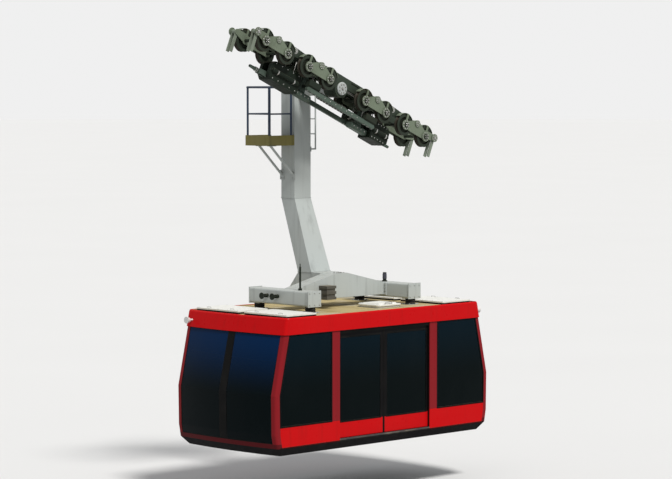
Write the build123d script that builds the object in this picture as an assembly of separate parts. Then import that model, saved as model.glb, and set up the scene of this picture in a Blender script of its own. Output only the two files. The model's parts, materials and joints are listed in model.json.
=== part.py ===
from build123d import *
import math
import os

# Reversible aerial tramway vehicle: a cabin that hangs from a carriage on two
# track ropes.  Millimetres, +X downhill along the line, +Y to the hanger's
# side, +Z up.  The origin is midway between the two track ropes' centrelines,
# square under the main pin.

# Ropes
ROPE_SLOPE = 23.2            # degrees, the ropes rise towards -X
ROPE_GAUGE = 530.0
TRACK_ROPE_D = 50.0
HAUL_ROPE_D = 32.0
HAUL_ROPE_DROP = 240.0
ROPE_CLEARANCE = 9.0         # of jaws and forks beside a track rope

# Fits
RUN = 0.05                   # radial clearance of a shaft in its bearing
SEAT = 0.3                   # gap at a seat between pieces that move apart

# Wheels and axles
WHEEL_R = 198.0
TREAD_R = 174.0
WHEEL_W = 84.0
WHEEL_RIM = 30.0
GROOVE_W = 34.0              # at the tread
WEB_T = 22.0
HUB_R = 58.0
HUB_W = 90.0
AXLE_D = 60.0
AXLE_CAP_D = 92.0
AXLE_CAP_T = 14.0
AXLE_CAP_GAP = 5.0
AXLE_PITCH = 580.0
FIRST_AXLE = 500.0
AXLES_A_SIDE = 4

# Bogies: a fork on each rope with a hood over each wheel
FORK_GAP = 104.0             # between the plates either side of a wheel
FORK_T = 14.0
FORK_R = 66.0
BEARING_R = 94.0
BEARING_T = 18.0
HOOD_GAP = 16.0
HOOD_T = 8.0
HOOD_STAY_W = 44.0
HOOD_ANGLE = 62.0            # each way from straight up
BOGIE_PIN_D = 84.0
BOGIE_PIN_RISE = 140.0       # above the axles
BOGIE_FLANGE_D = 128.0
BOGIE_FLANGE_T = 16.0
HORN_REACH = 240.0           # past the last axle
HORN_RISE = 70.0
HORN_R = 52.0
HORN_RING_R = 76.0
LEG_DROP = 110.0             # of the rope fork's legs under the rope's centre
LEG_S = 64.0

# Rockers and main beam
ROCKER_T = 24.0
ROCKER_GAP = 16.0            # rocker plate to the fork's inner plate
ROCKER_R = 62.0
ROCKER_PIN_D = 90.0
ROCKER_PIN_RISE = 178.0      # above the axles
BEAM_GAP = 8.0
BEAM_DEPTH = 190.0
BEAM_END_DEPTH = 120.0
BEAM_OVER_AXLE = 34.0
BEAM_POCKET = 14.0
BEAM_RIM = 34.0
BOSS_R = 165.0

# Haul-rope anchors under the beam
ANCHOR_L = 420.0
ANCHOR_W = 150.0
ANCHOR_H = 104.0
STRUT_L = 120.0
STRUT_W = 60.0
TOW_BAR_T = 20.0
TOW_BAR_H = 100.0
TOW_BAR_GAP = 64.0
TOW_BAR_TAPER = 180.0        # length over which a bar narrows to its socket
TOW_END_UPHILL = 2150.0
TOW_END_DOWNHILL = 1700.0
SOCKET_L = 280.0
SOCKET_BORE = 200.0
SOCKET_R = 40.0
SOCKET_TIP_R = 26.0

# Track-rope brakes
JAW_L = 300.0
JAW_W = 112.0
JAW_H = 92.0
JAW_ARM_L = 110.0
JAW_ARM_H = 36.0
BRAKE_BAR_W = 56.0
BRAKE_BAR_H = 78.0
SPRING_D = 130.0
SPRING_L = 700.0
SPRING_ROD_D = 44.0
SPRING_DROP = 60.0

# Brakes' hydraulic units: boxes round the tow bars, each with a tank along its sides
UNIT_L_UPHILL = 760.0
UNIT_L_DOWNHILL = 480.0
UNIT_W = 300.0
UNIT_TOP = 30.0              # above the track ropes' centres
UNIT_WALL = 30.0
UNIT_BAR_GAP = 25.0          # beside the tow bars
UNIT_GAP = 20.0              # from the anchor
UNIT_NOSE = 70.0
TANK_D = 96.0
TANK_END = 40.0              # short of the unit's ends
TANK_SINK = 40.0             # of a tank into the unit's side
TANK_CHAMFER = 14.0

# Main pin and hanger
PIN_RISE = 225.0             # main pin above the ropes
PIN_D = 130.0
PIN_COLLAR_D = 240.0
PIN_COLLAR_T = 34.0
ARM_D = 270.0
ARM_RIBS = 4
ARM_RIB_L = 150.0
ARM_RIB_H = 60.0
ARM_RIB_T = 18.0
PIN_COVER_D = 300.0
PIN_COVER_T = 28.0
HANGER_OUT = 1040.0          # column centre, sideways from the ropes' middle
COLUMN_X = 420.0
COLUMN_Y = 350.0
COLUMN_TOP = 215.0           # above the main pin
COLUMN_CAP_T = 14.0
LEG_X = 500.0
KNEE_Z = -1820.0
FOOT_OUT = 560.0             # leg centre where it meets the roof frame
FOOT_REACH = 1000.0          # tip of the foot's outer toe
FOOT_TOE_H = 100.0
FOOT_SHOULDER = 720.0

# Work platform on the hanger
PLATFORM_Z = -820.0
PLATFORM_L = 650.0
PLATFORM_W = 630.0           # from the column's face towards the ropes outwards
PLATFORM_T = 24.0
TOE_H = 165.0
TOE_T = 10.0
RAIL_H = 1050.0
RAIL_MID = 560.0
RAIL_D = 40.0
RAIL_MID_D = 30.0
BRACE_D = 45.0
BRACE_DROP = 560.0
BRACE_SPREAD = 300.0
BRACE_END = 60.0             # short of the platform's end

# Ladder on the column's other face
LADDER_W = 300.0
LADDER_OUT = 150.0
LADDER_STILE_D = 30.0
LADDER_RUNG_D = 22.0
LADDER_STEP = 280.0
LADDER_RUNGS = 4
LADDER_FOOT_Z = -920.0

# Cabin.  Levels are measured down from the top of the roof band.
ROOF_Z = -3770.0
WAIST_DOWN = 1350.0
TUCK_DOWN = 2050.0
SILL_DOWN = 2280.0
BELLY_DOWN = 2420.0
CABIN_HALF_L = 2775.0        # at the waist's corners
CABIN_HALF_W = 1300.0
ROOF_IN = 305.0              # how far the ends stand in from the waist
TUCK_IN = 10.0
SILL_IN = 55.0
BELLY_IN = 185.0
BELLY_SIDE_IN = 85.0
END_BOW = 80.0
CORNER_R = 70.0
INNER_CORNER_R = 20.0
BAND_DOWN = 300.0
BAND_T = 20.0
BAND_BEVEL = 12.0
BAND_BEVEL_H = 26.0
WALL = 45.0
ROOF_STEP = 20.0
DECK_T = 40.0
CEILING_T = 30.0
FLOOR_T = 40.0
PAN_T = 30.0
PAN_WALL = 60.0
SKID_HALF = 1900.0
SKID_W = 90.0
SKID_H = 40.0
SKID_Y = 640.0
FLOOR_HATCH_X = -700.0
FLOOR_HATCH_L = 760.0
FLOOR_HATCH_W = 640.0
FLOOR_HATCH_T = 10.0
FLOOR_HATCH_R = 50.0
WINDOW_FOOT = 1910.0
POST_W = 200.0
PILLAR_SIDE = 105.0
PILLAR_END = 105.0
END_SILL_H = 80.0
MULLION_W = 150.0
GLASS_T = 12.0
GLASS_IN = 6.0

# Roof furniture
PANEL_START = 190.0          # past the cross beam
PANEL_BACK = 85.0            # from the roof's end
PANEL_GAP = 70.0             # from the roof's middle
PANEL_SIDE = 120.0           # from the roof's side
PANEL_T = 26.0
PANEL_LIFT = 30.0
PANEL_R = 30.0
PANEL_FOOT = 60.0
HATCH_X = 520.0
HATCH_SIDE = 680.0           # its middle, from the roof's side
HATCH_L = 580.0
HATCH_W = 540.0
HATCH_H = 60.0
HATCH_R = 60.0
HATCH_DOME = 22.0

# Frame on the roof that takes the hanger's foot
CROSS_X = 1300.0
CROSS_W = 300.0
CROSS_HALF = 770.0
CROSS_R = 30.0
FRAME_LOW = 100.0
FRAME_TOP = 370.0
SPINE_W = 300.0
SPINE_LOW = 150.0
SPINE_PEAK = 600.0
SPINE_FLAT = 150.0
SPRING_BACK = 110.0          # middle of a spring, from the cross beam's end
SPRING_PAD_R = 95.0
SPRING_RINGS = 3
SPRING_CHAMFER = 9.0
PACK_X = 460.0
PACK_L = 240.0
PACK_W = 210.0
PACK_H = 250.0
PACK_PLATES = 5
PACK_GROOVE = 16.0
ANTENNA_Y = -400.0
ANTENNA_D = 16.0
ANTENNA_H = 480.0
ANTENNA_BASE_H = 35.0
VALVES_Y = (20.0, 290.0)
VALVE_DROP = 120.0           # under the cross beam's top
VALVE_D = 70.0
VALVE_H = 70.0
VALVE_STEM_D = 24.0
HANDWHEEL_D = 120.0
HANDWHEEL_T = 14.0
BEACON_D = 70.0
BEACON_H = 170.0
BEACON_BASE_D = 100.0
BEACON_BASE_H = 20.0

# Doors
LEAF_T = 40.0
LEAF_CLEAR = 6.0
LEAF_MEET = 4.0
LEAF_LAP = 30.0
LEAF_BACK = 425.0            # end of an opened leaf, in from the cabin's waist
LEAF_LEFT = 50.0             # of a leaf that an opened one doesn't travel
LEAF_STILE = 70.0
LEAF_RAIL = 70.0
LEAF_PANE_FOOT = 40.0        # glass reaches this far under the window line
PANE_T = 12.0
PANE_IN = 4.0
TRACK_H = 55.0
TRACK_W = 50.0
TRACK_SLOT = 14.0
TRACK_SLOT_H = 30.0
TONGUE_H = 26.0
TONGUE_END = 60.0
TRACK_END = 30.0

# Inside
POLE_D = 38.0
POLE_X = 1500.0
POLE_Y = 520.0
POLE_RAIL_DROP = 180.0
DESK_W = 420.0
DESK_D = 300.0
DESK_H = 1020.0
DESK_BACK = 220.0            # from the cabin's end at the sill
DESK_SIDE = 400.0            # from the cabin's side
LAMP_DOWN = 175.0
LAMP_SIDE = 180.0            # from the cabin's side
LAMP_REACH = 150.0
LAMP_STEM_D = 36.0
LAMP_R = 62.0
LAMP_NECK_R = 40.0

PIN_X = PIN_RISE * math.sin(math.radians(ROPE_SLOPE))
PIN_Z = PIN_RISE * math.cos(math.radians(ROPE_SLOPE))
AXLE_H = TREAD_R + TRACK_ROPE_D / 2
ROPE_Y = ROPE_GAUGE / 2
AXLES = [FIRST_AXLE + i * AXLE_PITCH for i in range(AXLES_A_SIDE)]
BOGIES = [(AXLES[i] + AXLES[i + 1]) / 2 for i in range(0, AXLES_A_SIDE, 2)]
ROCKER_S = (BOGIES[0] + BOGIES[-1]) / 2
FORK_IN = ROPE_Y - FORK_GAP / 2 - FORK_T
FORK_OUT = ROPE_Y + FORK_GAP / 2 + FORK_T
ROCKER_Y = FORK_IN - ROCKER_GAP - ROCKER_T
BEAM_HALF = ROCKER_Y - BEAM_GAP
BEAM_LOW = AXLE_H + AXLE_D / 2 + BEAM_OVER_AXLE
JAW_LOW = -TRACK_ROPE_D / 2 - JAW_H
FRAME_BASE_Z = ROOF_Z + SPINE_LOW
FOOT_Z = ROOF_Z + SPINE_PEAK
DECK_Z = ROOF_Z - ROOF_STEP
DECK_DOWN = ROOF_STEP + DECK_T
FLOOR_Z = ROOF_Z - SILL_DOWN + FLOOR_T
CEILING_Z = ROOF_Z - BAND_DOWN
LEAF_END = (CABIN_HALF_L - LEAF_BACK + LEAF_LEFT) / 2
LEAF_OPEN = LEAF_END - LEAF_LEFT
DOOR_X = LEAF_END - LEAF_LAP
POST_EDGE = DOOR_X + POST_W
SPRING_Y = CROSS_HALF - SPRING_BACK
PLATFORM_Y = HANGER_OUT - COLUMN_Y / 2
SIDES = (-1, 1)

tilt = Rot(0, ROPE_SLOPE, 0)
across_plane = Plane(origin=(0, 0, 0), x_dir=(1, 0, 0), z_dir=(0, -1, 0))


def save(name, *solids):
    """Write one node, each of its solids a piece of its own."""
    flat = []
    for item in solids:
        flat.extend(item.solids())
    shape = flat[0] if len(flat) == 1 else Compound(children=flat)
    export_step(shape, f"parts/{name}.step")


def rod(start, end, diameter):
    """A straight round bar between two points."""
    a, b = Vector(*start), Vector(*end)
    plane = Plane(origin=a, z_dir=b - a)
    return plane * Cylinder(diameter / 2, (b - a).length, align=(Align.CENTER, Align.CENTER, Align.MIN))


def pipe(points, diameter):
    """A round tube through the points, mitred at its corners."""
    path = Polyline(*points)
    section = Plane(origin=path @ 0, z_dir=path % 0) * Circle(diameter / 2)
    return sweep(section, path=path, transition=Transition.RIGHT)


def block(x0, x1, y0, y1, z0, z1):
    """A box between two corners, given in any order."""
    centre = ((x0 + x1) / 2, (y0 + y1) / 2, (z0 + z1) / 2)
    return Pos(*centre) * Box(abs(x1 - x0), abs(y1 - y0), abs(z1 - z0))


def across(profile, y0, y1):
    """Extrude a profile drawn in X and Z along Y, from y0 to y1."""
    return extrude(Pos(0, y0, 0) * (across_plane * profile), amount=y0 - y1)


def along(profile, s0, s1):
    """Extrude a profile drawn in Y and Z along X, from s0 to s1."""
    return extrude(Pos(s0, 0, 0) * (Plane.YZ * profile), amount=s1 - s0)


def outline(points):
    """A closed face through the points."""
    return make_face(Polyline(*points, close=True))


def link(points, radius):
    """A plate with round ends about each of the points."""
    return offset(outline(points), amount=radius)


def fused(pieces):
    """One shape from several that touch."""
    first, *rest = pieces
    for piece in rest:
        first = first + piece
    return first


def on_side(shape, sx, sy):
    """A shape drawn for +X and +Y, put on the asked end and side of the cabin."""
    if sx < 0:
        shape = mirror(shape, about=Plane.YZ)
    if sy < 0:
        shape = mirror(shape, about=Plane.XZ)
    return Pos(PIN_X, 0, ROOF_Z) * shape


# Carriage: built level, then tilted to the ropes' slope

def wheel():
    """A grooved wheel with a thin web, its axle along Y."""
    rim_in = TREAD_R - WHEEL_RIM
    half = WHEEL_W / 2
    # one half of the section: radius, distance from the wheel's middle
    side = [(0, HUB_W / 2), (HUB_R, HUB_W / 2), (HUB_R, WEB_T / 2), (rim_in, WEB_T / 2), (rim_in, half),
            (WHEEL_R, half), (TREAD_R, GROOVE_W / 2)]
    section = outline(side + [(r, -y) for r, y in reversed(side)])
    return revolve(section, axis=Axis.Y)


def wheel_pair(s):
    """Two wheels fixed on one axle, with a cap at each end."""
    cap_at = FORK_OUT + BEARING_T + AXLE_CAP_GAP
    pair = across(Circle(AXLE_D / 2), -cap_at, cap_at)
    for side in SIDES:
        pair += Pos(0, side * ROPE_Y, 0) * wheel()
        pair += across(Circle(AXLE_CAP_D / 2), side * cap_at, side * (cap_at + AXLE_CAP_T))
    return tilt * Pos(s, 0, AXLE_H) * pair


def hood(s):
    """Profile of the curved guard over one wheel."""
    inner = WHEEL_R + HOOD_GAP
    reach = 2 * inner
    angle = math.radians(HOOD_ANGLE)
    wedge = outline([(0, 0), (-reach * math.sin(angle), reach * math.cos(angle)), (0, reach * 1.5),
                     (reach * math.sin(angle), reach * math.cos(angle))])
    return Pos(s, AXLE_H) * ((Circle(inner + HOOD_T) - Circle(inner)) & wedge)


def bogie(sign, s, side, horned):
    """A fork over two wheels on one rope: plates, hoods, bearings and the pin's tube."""
    pin_z = AXLE_H + BOGIE_PIN_RISE
    half = AXLE_PITCH / 2
    axles = (s - half, s + half)
    face = link([(axles[0], AXLE_H), (axles[1], AXLE_H), (s, pin_z)], FORK_R)
    hood_r = WHEEL_R + HOOD_GAP + HOOD_T / 2
    for x in axles:
        face += Pos(x, AXLE_H + hood_r / 2) * Rectangle(HOOD_STAY_W, hood_r)
    tip = (sign * (AXLES[-1] + HORN_REACH), AXLE_H + HORN_RISE)
    if horned:
        root = (sign * AXLES[-1], AXLE_H)
        face += link([root, tip, (root[0] + sign, AXLE_H + BOGIE_PIN_RISE / 2)], HORN_R)
    for x in axles:
        face -= Pos(x, AXLE_H) * Circle(AXLE_D / 2 + RUN)
    inner, outer = side * (FORK_IN + FORK_T), side * (FORK_OUT - FORK_T)
    pieces = [across(face, side * FORK_IN, inner), across(face, outer, side * FORK_OUT)]
    pieces += [across(hood(x), inner, outer) for x in axles]
    ring = Circle(BEARING_R) - Circle(AXLE_D / 2 + RUN)
    bearing_out = side * (FORK_OUT + BEARING_T)
    pieces += [across(Pos(x, AXLE_H) * ring, side * FORK_OUT, bearing_out) for x in axles]
    pieces.append(across(Pos(s, pin_z) * Circle(BOGIE_PIN_D / 2), side * (ROCKER_Y + ROCKER_T), bearing_out))
    pieces.append(across(Pos(s, pin_z) * Circle(BOGIE_FLANGE_D / 2), side * FORK_OUT,
                         side * (FORK_OUT + BOGIE_FLANGE_T)))
    if horned:
        pieces.append(across(Pos(*tip) * Circle(HORN_RING_R), side * FORK_OUT, bearing_out))
    return tilt * fused(pieces)


def rope_fork(sign, side):
    """The drum between two horns, with legs that straddle the rope."""
    s = sign * (AXLES[-1] + HORN_REACH)
    z = AXLE_H + HORN_RISE
    half = FORK_GAP / 2
    y = side * ROPE_Y
    leg_in = TRACK_ROPE_D / 2 + ROPE_CLEARANCE
    pieces = [across(Pos(s, z) * Circle(LEG_S / 2 + ROPE_CLEARANCE), y - half, y + half)]
    for face in SIDES:
        pieces.append(block(s - LEG_S / 2, s + LEG_S / 2, y + face * leg_in, y + face * half, -LEG_DROP, z))
    return tilt * fused(pieces)


def rocker(sign, side):
    """The plate that carries two bogies on one rope."""
    low, high = AXLE_H + BOGIE_PIN_RISE, AXLE_H + ROCKER_PIN_RISE
    face = link([(sign * BOGIES[0], low), (sign * BOGIES[-1], low), (sign * ROCKER_S, high)], ROCKER_R)
    face -= Pos(sign * ROCKER_S, high) * Circle(ROCKER_PIN_D / 2)
    return tilt * across(face, side * ROCKER_Y, side * (ROCKER_Y + ROCKER_T))


def rocker_pin(sign):
    """The pin that hangs two rockers on one end of the main beam."""
    centre = Pos(sign * ROCKER_S, AXLE_H + ROCKER_PIN_RISE)
    half = ROCKER_Y + ROCKER_T
    flange = ROCKER_GAP / 2
    pin = across(centre * Circle(ROCKER_PIN_D / 2), -half, half)
    for side in SIDES:
        pin += across(centre * Circle(ROCKER_R * 0.9), side * half, side * (half + flange))
    return tilt * pin


def main_beam():
    """The box beam between the ropes, with pocketed sides and the main pin's boss."""
    end = ROCKER_S + ROCKER_R
    top = BEAM_LOW + BEAM_DEPTH
    end_top = BEAM_LOW + BEAM_END_DEPTH
    pin = Pos(0, PIN_RISE)
    face = outline([(-end, BEAM_LOW), (end, BEAM_LOW), (end, end_top), (FIRST_AXLE, top),
                    (-FIRST_AXLE, top), (-end, end_top)])
    face += pin * Circle(BOSS_R)
    face -= pin * Circle(PIN_D / 2 + RUN)
    for sign in SIDES:
        face -= Pos(sign * ROCKER_S, AXLE_H + ROCKER_PIN_RISE) * Circle(ROCKER_PIN_D / 2)
    beam = across(face, -BEAM_HALF, BEAM_HALF)
    pocket_end = ROCKER_S - ROCKER_PIN_D
    pocket_start = BOSS_R + BEAM_RIM
    for sign in SIDES:
        pocket = outline([
            (sign * pocket_start, BEAM_LOW + BEAM_RIM), (sign * pocket_end, BEAM_LOW + BEAM_RIM),
            (sign * pocket_end, end_top - BEAM_RIM / 2), (sign * FIRST_AXLE, top - BEAM_RIM),
            (sign * pocket_start, top - BEAM_RIM)])
        for side in SIDES:
            beam -= across(pocket, side * (BEAM_HALF - BEAM_POCKET), side * (BEAM_HALF + 1))
    return tilt * beam


def haul_rope_anchor(sign, tow_end):
    """A block under the beam with two tow bars that end in a rope socket."""
    s = sign * BOGIES[0]
    z = -HAUL_ROPE_DROP
    anchor = block(s - ANCHOR_L / 2, s + ANCHOR_L / 2, -ANCHOR_W / 2, ANCHOR_W / 2,
                   z - ANCHOR_H / 2, z + ANCHOR_H / 2)
    anchor = chamfer(anchor.edges().filter_by(Axis.X), ANCHOR_H / 5)
    pieces = [anchor, block(s - STRUT_L / 2, s + STRUT_L / 2, -STRUT_W / 2, STRUT_W / 2, z, BEAM_LOW)]
    socket_from = sign * (tow_end - SOCKET_L)
    bar_end = socket_from + sign * SOCKET_L / 4
    narrow = bar_end - sign * TOW_BAR_TAPER
    half, tip = TOW_BAR_H / 2, SOCKET_R
    bar = outline([(s, z - half), (narrow, z - half), (bar_end, z - tip), (bar_end, z + tip),
                   (narrow, z + half), (s, z + half)])
    for side in SIDES:
        pieces.append(across(bar, side * TOW_BAR_GAP / 2, side * (TOW_BAR_GAP / 2 + TOW_BAR_T)))
    cone = Cone(SOCKET_R, SOCKET_TIP_R, SOCKET_L, align=(Align.CENTER, Align.CENTER, Align.MIN))
    socket = Pos(socket_from, 0, z) * Rot(0, sign * 90, 0) * cone
    shape = fused(pieces + [socket])
    bore = Pos(sign * tow_end, 0, z) * Rot(0, sign * 90, 0) * Cylinder(HAUL_ROPE_D / 2, 2 * SOCKET_BORE)
    return tilt * (shape - bore)


def rope_brake(sign, side):
    """A jaw round the underside of a track rope, on an arm from the anchor's strut."""
    s = sign * BOGIES[0]
    y = side * ROPE_Y
    groove = TRACK_ROPE_D / 2 + ROPE_CLEARANCE
    jaw = block(s - JAW_L / 2, s + JAW_L / 2, y - JAW_W / 2, y + JAW_W / 2, JAW_LOW, groove / 3)
    jaw = chamfer(jaw.edges().filter_by(Axis.X).sort_by(Axis.Z)[:2], JAW_W / 5)
    jaw -= Pos(s, y, 0) * Rot(0, 90, 0) * Cylinder(groove, JAW_L + 2)
    arm_z = JAW_LOW + JAW_ARM_H
    arm = block(s - JAW_ARM_L / 2, s + JAW_ARM_L / 2, side * STRUT_W / 2, y,
                arm_z - JAW_ARM_H / 2, arm_z + JAW_ARM_H / 2)
    return tilt * (jaw + arm)


def brake_bar(side):
    """The pale bar under the jaws of one rope."""
    reach = BOGIES[0] + JAW_L / 2
    y = side * ROPE_Y
    bar = block(-reach, reach, y - BRAKE_BAR_W / 2, y + BRAKE_BAR_W / 2, JAW_LOW - BRAKE_BAR_H, JAW_LOW)
    return tilt * chamfer(bar.edges().filter_by(Axis.Y), BRAKE_BAR_H / 3)


def brake_spring():
    """The spring cylinder between the two struts."""
    reach = BOGIES[0] - STRUT_L / 2
    profile = Circle(SPRING_D / 2)
    rod_profile = Circle(SPRING_ROD_D / 2)
    spring = along(profile, -SPRING_L / 2, SPRING_L / 2) + along(rod_profile, -reach, reach)
    return tilt * Pos(0, 0, -SPRING_DROP) * spring


def hydraulic_unit(sign, length):
    """A brake's hydraulic unit: a box round the tow bars that hangs on them, with a tank each side."""
    floor = -HAUL_ROPE_DROP - TOW_BAR_H / 2
    low = floor - UNIT_WALL
    near = sign * (BOGIES[0] + ANCHOR_L / 2 + UNIT_GAP)
    far = near + sign * length
    face = outline([(near, UNIT_TOP), (far - sign * UNIT_NOSE, UNIT_TOP), (far, UNIT_TOP - UNIT_NOSE),
                    (far, low + UNIT_NOSE), (far - sign * UNIT_NOSE, low), (near, low)])
    unit = across(face, -UNIT_W / 2, UNIT_W / 2)
    slot = TOW_BAR_GAP / 2 + TOW_BAR_T + UNIT_BAR_GAP
    unit -= block(near - sign, far + sign, -slot, slot, floor, UNIT_TOP - UNIT_WALL)
    tank = along(Circle(TANK_D / 2), min(near, far) + TANK_END, max(near, far) - TANK_END)
    tank = chamfer(tank.edges().filter_by(GeomType.CIRCLE), TANK_CHAMFER)
    tank_y = UNIT_W / 2 + TANK_D / 2 - TANK_SINK
    for side in SIDES:
        unit += Pos(0, side * tank_y, (UNIT_TOP + low) / 2) * tank
    return tilt * unit


# Hanger and roof frame

def hanger_arm():
    """The main pin, its collar, and the ribbed round arm that passes over the outer rope."""
    face_out = HANGER_OUT - COLUMN_Y / 2
    collar = across(Circle(PIN_COLLAR_D / 2), -BEAM_HALF - 1 - PIN_COLLAR_T, -BEAM_HALF - 1)
    collar = chamfer(collar.edges().filter_by(GeomType.CIRCLE).sort_by(Axis.Y)[0], PIN_COLLAR_T / 3)
    pieces = [collar, across(Circle(PIN_D / 2), -BEAM_HALF - 1, BEAM_HALF + 1),
              across(Circle(ARM_D / 2), BEAM_HALF + 1, face_out)]
    low, high = ARM_D / 2 - ARM_RIB_T, ARM_D / 2 + ARM_RIB_H
    rib = outline([(face_out - ARM_RIB_L, low), (face_out, low), (face_out, high), (face_out - ARM_RIB_T, high)])
    plate = along(rib, -ARM_RIB_T / 2, ARM_RIB_T / 2)
    pieces += [Rot(0, 45 + 360 * i / ARM_RIBS, 0) * plate for i in range(ARM_RIBS)]
    return Pos(PIN_X, 0, PIN_Z) * fused(pieces)


def hanger_column():
    """The box column with its cap, the slanted leg and the foot on the roof frame."""
    top = PIN_Z + COLUMN_TOP
    half = COLUMN_Y / 2
    upper = block(-COLUMN_X / 2, COLUMN_X / 2, HANGER_OUT - half, HANGER_OUT + half, KNEE_Z, top)
    cap = block(-COLUMN_X / 2 - COLUMN_CAP_T, COLUMN_X / 2 + COLUMN_CAP_T, HANGER_OUT - half - COLUMN_CAP_T,
                HANGER_OUT + half + COLUMN_CAP_T, top, top + COLUMN_CAP_T)
    outer = HANGER_OUT + half
    cover = Pos(0, 0, PIN_Z) * across(Circle(PIN_COVER_D / 2), outer, outer + PIN_COVER_T)
    slant = (HANGER_OUT - FOOT_OUT) / (KNEE_Z - FOOT_Z)
    base_y = FOOT_OUT - slant * (FOOT_Z - FRAME_BASE_Z)
    # rows: height, centre in Y, size along X
    rows = [(KNEE_Z, HANGER_OUT, COLUMN_X), (FOOT_Z, FOOT_OUT, LEG_X), (FRAME_BASE_Z, base_y, LEG_X)]
    faces = [Plane(origin=(0, y, z)) * Rectangle(size_x, COLUMN_Y) for z, y, size_x in rows]
    foot = outline([(SPINE_W / 2, FRAME_BASE_Z), (FOOT_REACH, FRAME_BASE_Z),
                    (FOOT_REACH, FRAME_BASE_Z + FOOT_TOE_H), (FOOT_SHOULDER, FOOT_Z), (SPINE_W / 2, FOOT_Z)])
    pieces = [upper, cap, cover, loft(faces[:2], ruled=True), loft(faces[1:], ruled=True),
              along(foot, -LEG_X / 2, LEG_X / 2)]
    return Pos(PIN_X, 0, 0) * fused(pieces)


def roof_spine():
    """The beam along the roof that peaks under the hanger's foot."""
    end = CROSS_X - CROSS_W / 2
    face = outline([(-end, SPINE_LOW), (end, SPINE_LOW), (end, FRAME_TOP), (SPINE_FLAT, SPINE_PEAK),
                    (-SPINE_FLAT, SPINE_PEAK), (-end, FRAME_TOP)])
    return Pos(PIN_X, 0, ROOF_Z) * across(face, -SPINE_W / 2, SPINE_W / 2)


def cross_beam(sign):
    """One beam across the roof."""
    x = sign * CROSS_X
    beam = block(x - CROSS_W / 2, x + CROSS_W / 2, -CROSS_HALF, CROSS_HALF, FRAME_LOW, FRAME_TOP)
    return Pos(PIN_X, 0, ROOF_Z) * fillet(beam.edges().filter_by(Axis.Y), CROSS_R)


def spring_pad(sx, sy):
    """A ribbed rubber spring between a cross beam and the roof."""
    step = (FRAME_LOW + ROOF_STEP) / SPRING_RINGS
    rings = []
    for i in range(SPRING_RINGS):
        ring = Pos(0, 0, step * (i + 0.5)) * Cylinder(SPRING_PAD_R, step)
        rings.append(chamfer(ring.edges().filter_by(GeomType.CIRCLE), SPRING_CHAMFER))
    return Pos(PIN_X + sx * CROSS_X, sy * SPRING_Y, DECK_Z) * fused(rings)


def spring_pack(sx, sy):
    """A stack of plates and rubber on the spine's side, beside the hanger's foot."""
    step = PACK_H / PACK_PLATES
    plates = []
    for i in range(PACK_PLATES):
        core = PACK_GROOVE * (i % 2)
        half = PACK_L / 2 - core
        y0, y1 = SPINE_W / 2, SPINE_W / 2 + PACK_W - core
        plates.append(block(-half, half, y0, y1, i * step, (i + 1) * step))
    pack = fused(plates)
    if sy < 0:
        pack = mirror(pack, about=Plane.XZ)
    return Pos(PIN_X + sx * PACK_X, 0, FRAME_BASE_Z) * pack


def roof_fittings():
    """An antenna and two shut-off valves on the uphill cross beam, and a beacon on the downhill one."""
    top = ROOF_Z + FRAME_TOP
    x = PIN_X - CROSS_X
    antenna = rod((x, ANTENNA_Y, top), (x, ANTENNA_Y, top + ANTENNA_BASE_H), VALVE_D)
    antenna += rod((x, ANTENNA_Y, top), (x, ANTENNA_Y, top + ANTENNA_H), ANTENNA_D)
    face, z = x - CROSS_W / 2, top - VALVE_DROP
    valves = []
    for y in VALVES_Y:
        valve = rod((face, y, z), (face - VALVE_H, y, z), VALVE_D)
        valve += rod((face, y, z), (face - VALVE_H * 2, y, z), VALVE_STEM_D)
        valve += rod((face - VALVE_H * 2, y, z), (face - VALVE_H * 2 - HANDWHEEL_T, y, z), HANDWHEEL_D)
        valves.append(valve)
    x = PIN_X + CROSS_X
    beacon = rod((x, 0, top), (x, 0, top + BEACON_H), BEACON_D)
    beacon += rod((x, 0, top), (x, 0, top + BEACON_BASE_H), BEACON_BASE_D)
    return [antenna, *valves, beacon]


# Work platform and ladder

def platform_frame():
    """Floor plate with toe boards on its three free sides."""
    x1 = PIN_X - COLUMN_X / 2
    x0 = x1 - PLATFORM_L
    y0, y1 = PLATFORM_Y, PLATFORM_Y + PLATFORM_W
    tray = block(x0, x1, y0, y1, PLATFORM_Z - PLATFORM_T, PLATFORM_Z + TOE_H)
    return tray - block(x0 + TOE_T, x1 + 1, y0 + TOE_T, y1 - TOE_T, PLATFORM_Z, PLATFORM_Z + TOE_H + 1)


def platform_railing():
    """Tube railing on the three free sides."""
    inset = TOE_T + RAIL_D / 2
    x1 = PIN_X - COLUMN_X / 2 - RAIL_D * 1.5
    x0 = PIN_X - COLUMN_X / 2 - PLATFORM_L + inset
    y0, y1 = PLATFORM_Y + inset, PLATFORM_Y + PLATFORM_W - inset
    low, mid, top = PLATFORM_Z, PLATFORM_Z + RAIL_MID, PLATFORM_Z + RAIL_H
    pieces = [
        pipe([(x1, y0, low), (x1, y0, top), (x0, y0, top), (x0, y1, top), (x1, y1, top), (x1, y1, low)],
             RAIL_D),
        pipe([(x1, y0, mid), (x0, y0, mid), (x0, y1, mid), (x1, y1, mid)], RAIL_MID_D)]
    for y in (y0, y1):
        pieces.append(rod((x0, y, low), (x0, y, top), RAIL_D))
    return fused(pieces)


def platform_brace(side):
    """A diagonal tube from under the platform down to the column."""
    x1 = PIN_X - COLUMN_X / 2
    z = PLATFORM_Z - PLATFORM_T
    y = HANGER_OUT + side * BRACE_SPREAD / 2
    start = Vector(x1 - PLATFORM_L + BRACE_END, y, z)
    end = Vector(x1, y, z - BRACE_DROP)
    run = (end - start).normalized() * 2 * BRACE_D
    tube = rod(tuple(start - run), tuple(end + run), BRACE_D)
    reach = 2 * BRACE_D
    return tube & block(x1 - PLATFORM_L, x1, y - reach, y + reach, z - 2 * BRACE_DROP, z)


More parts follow.
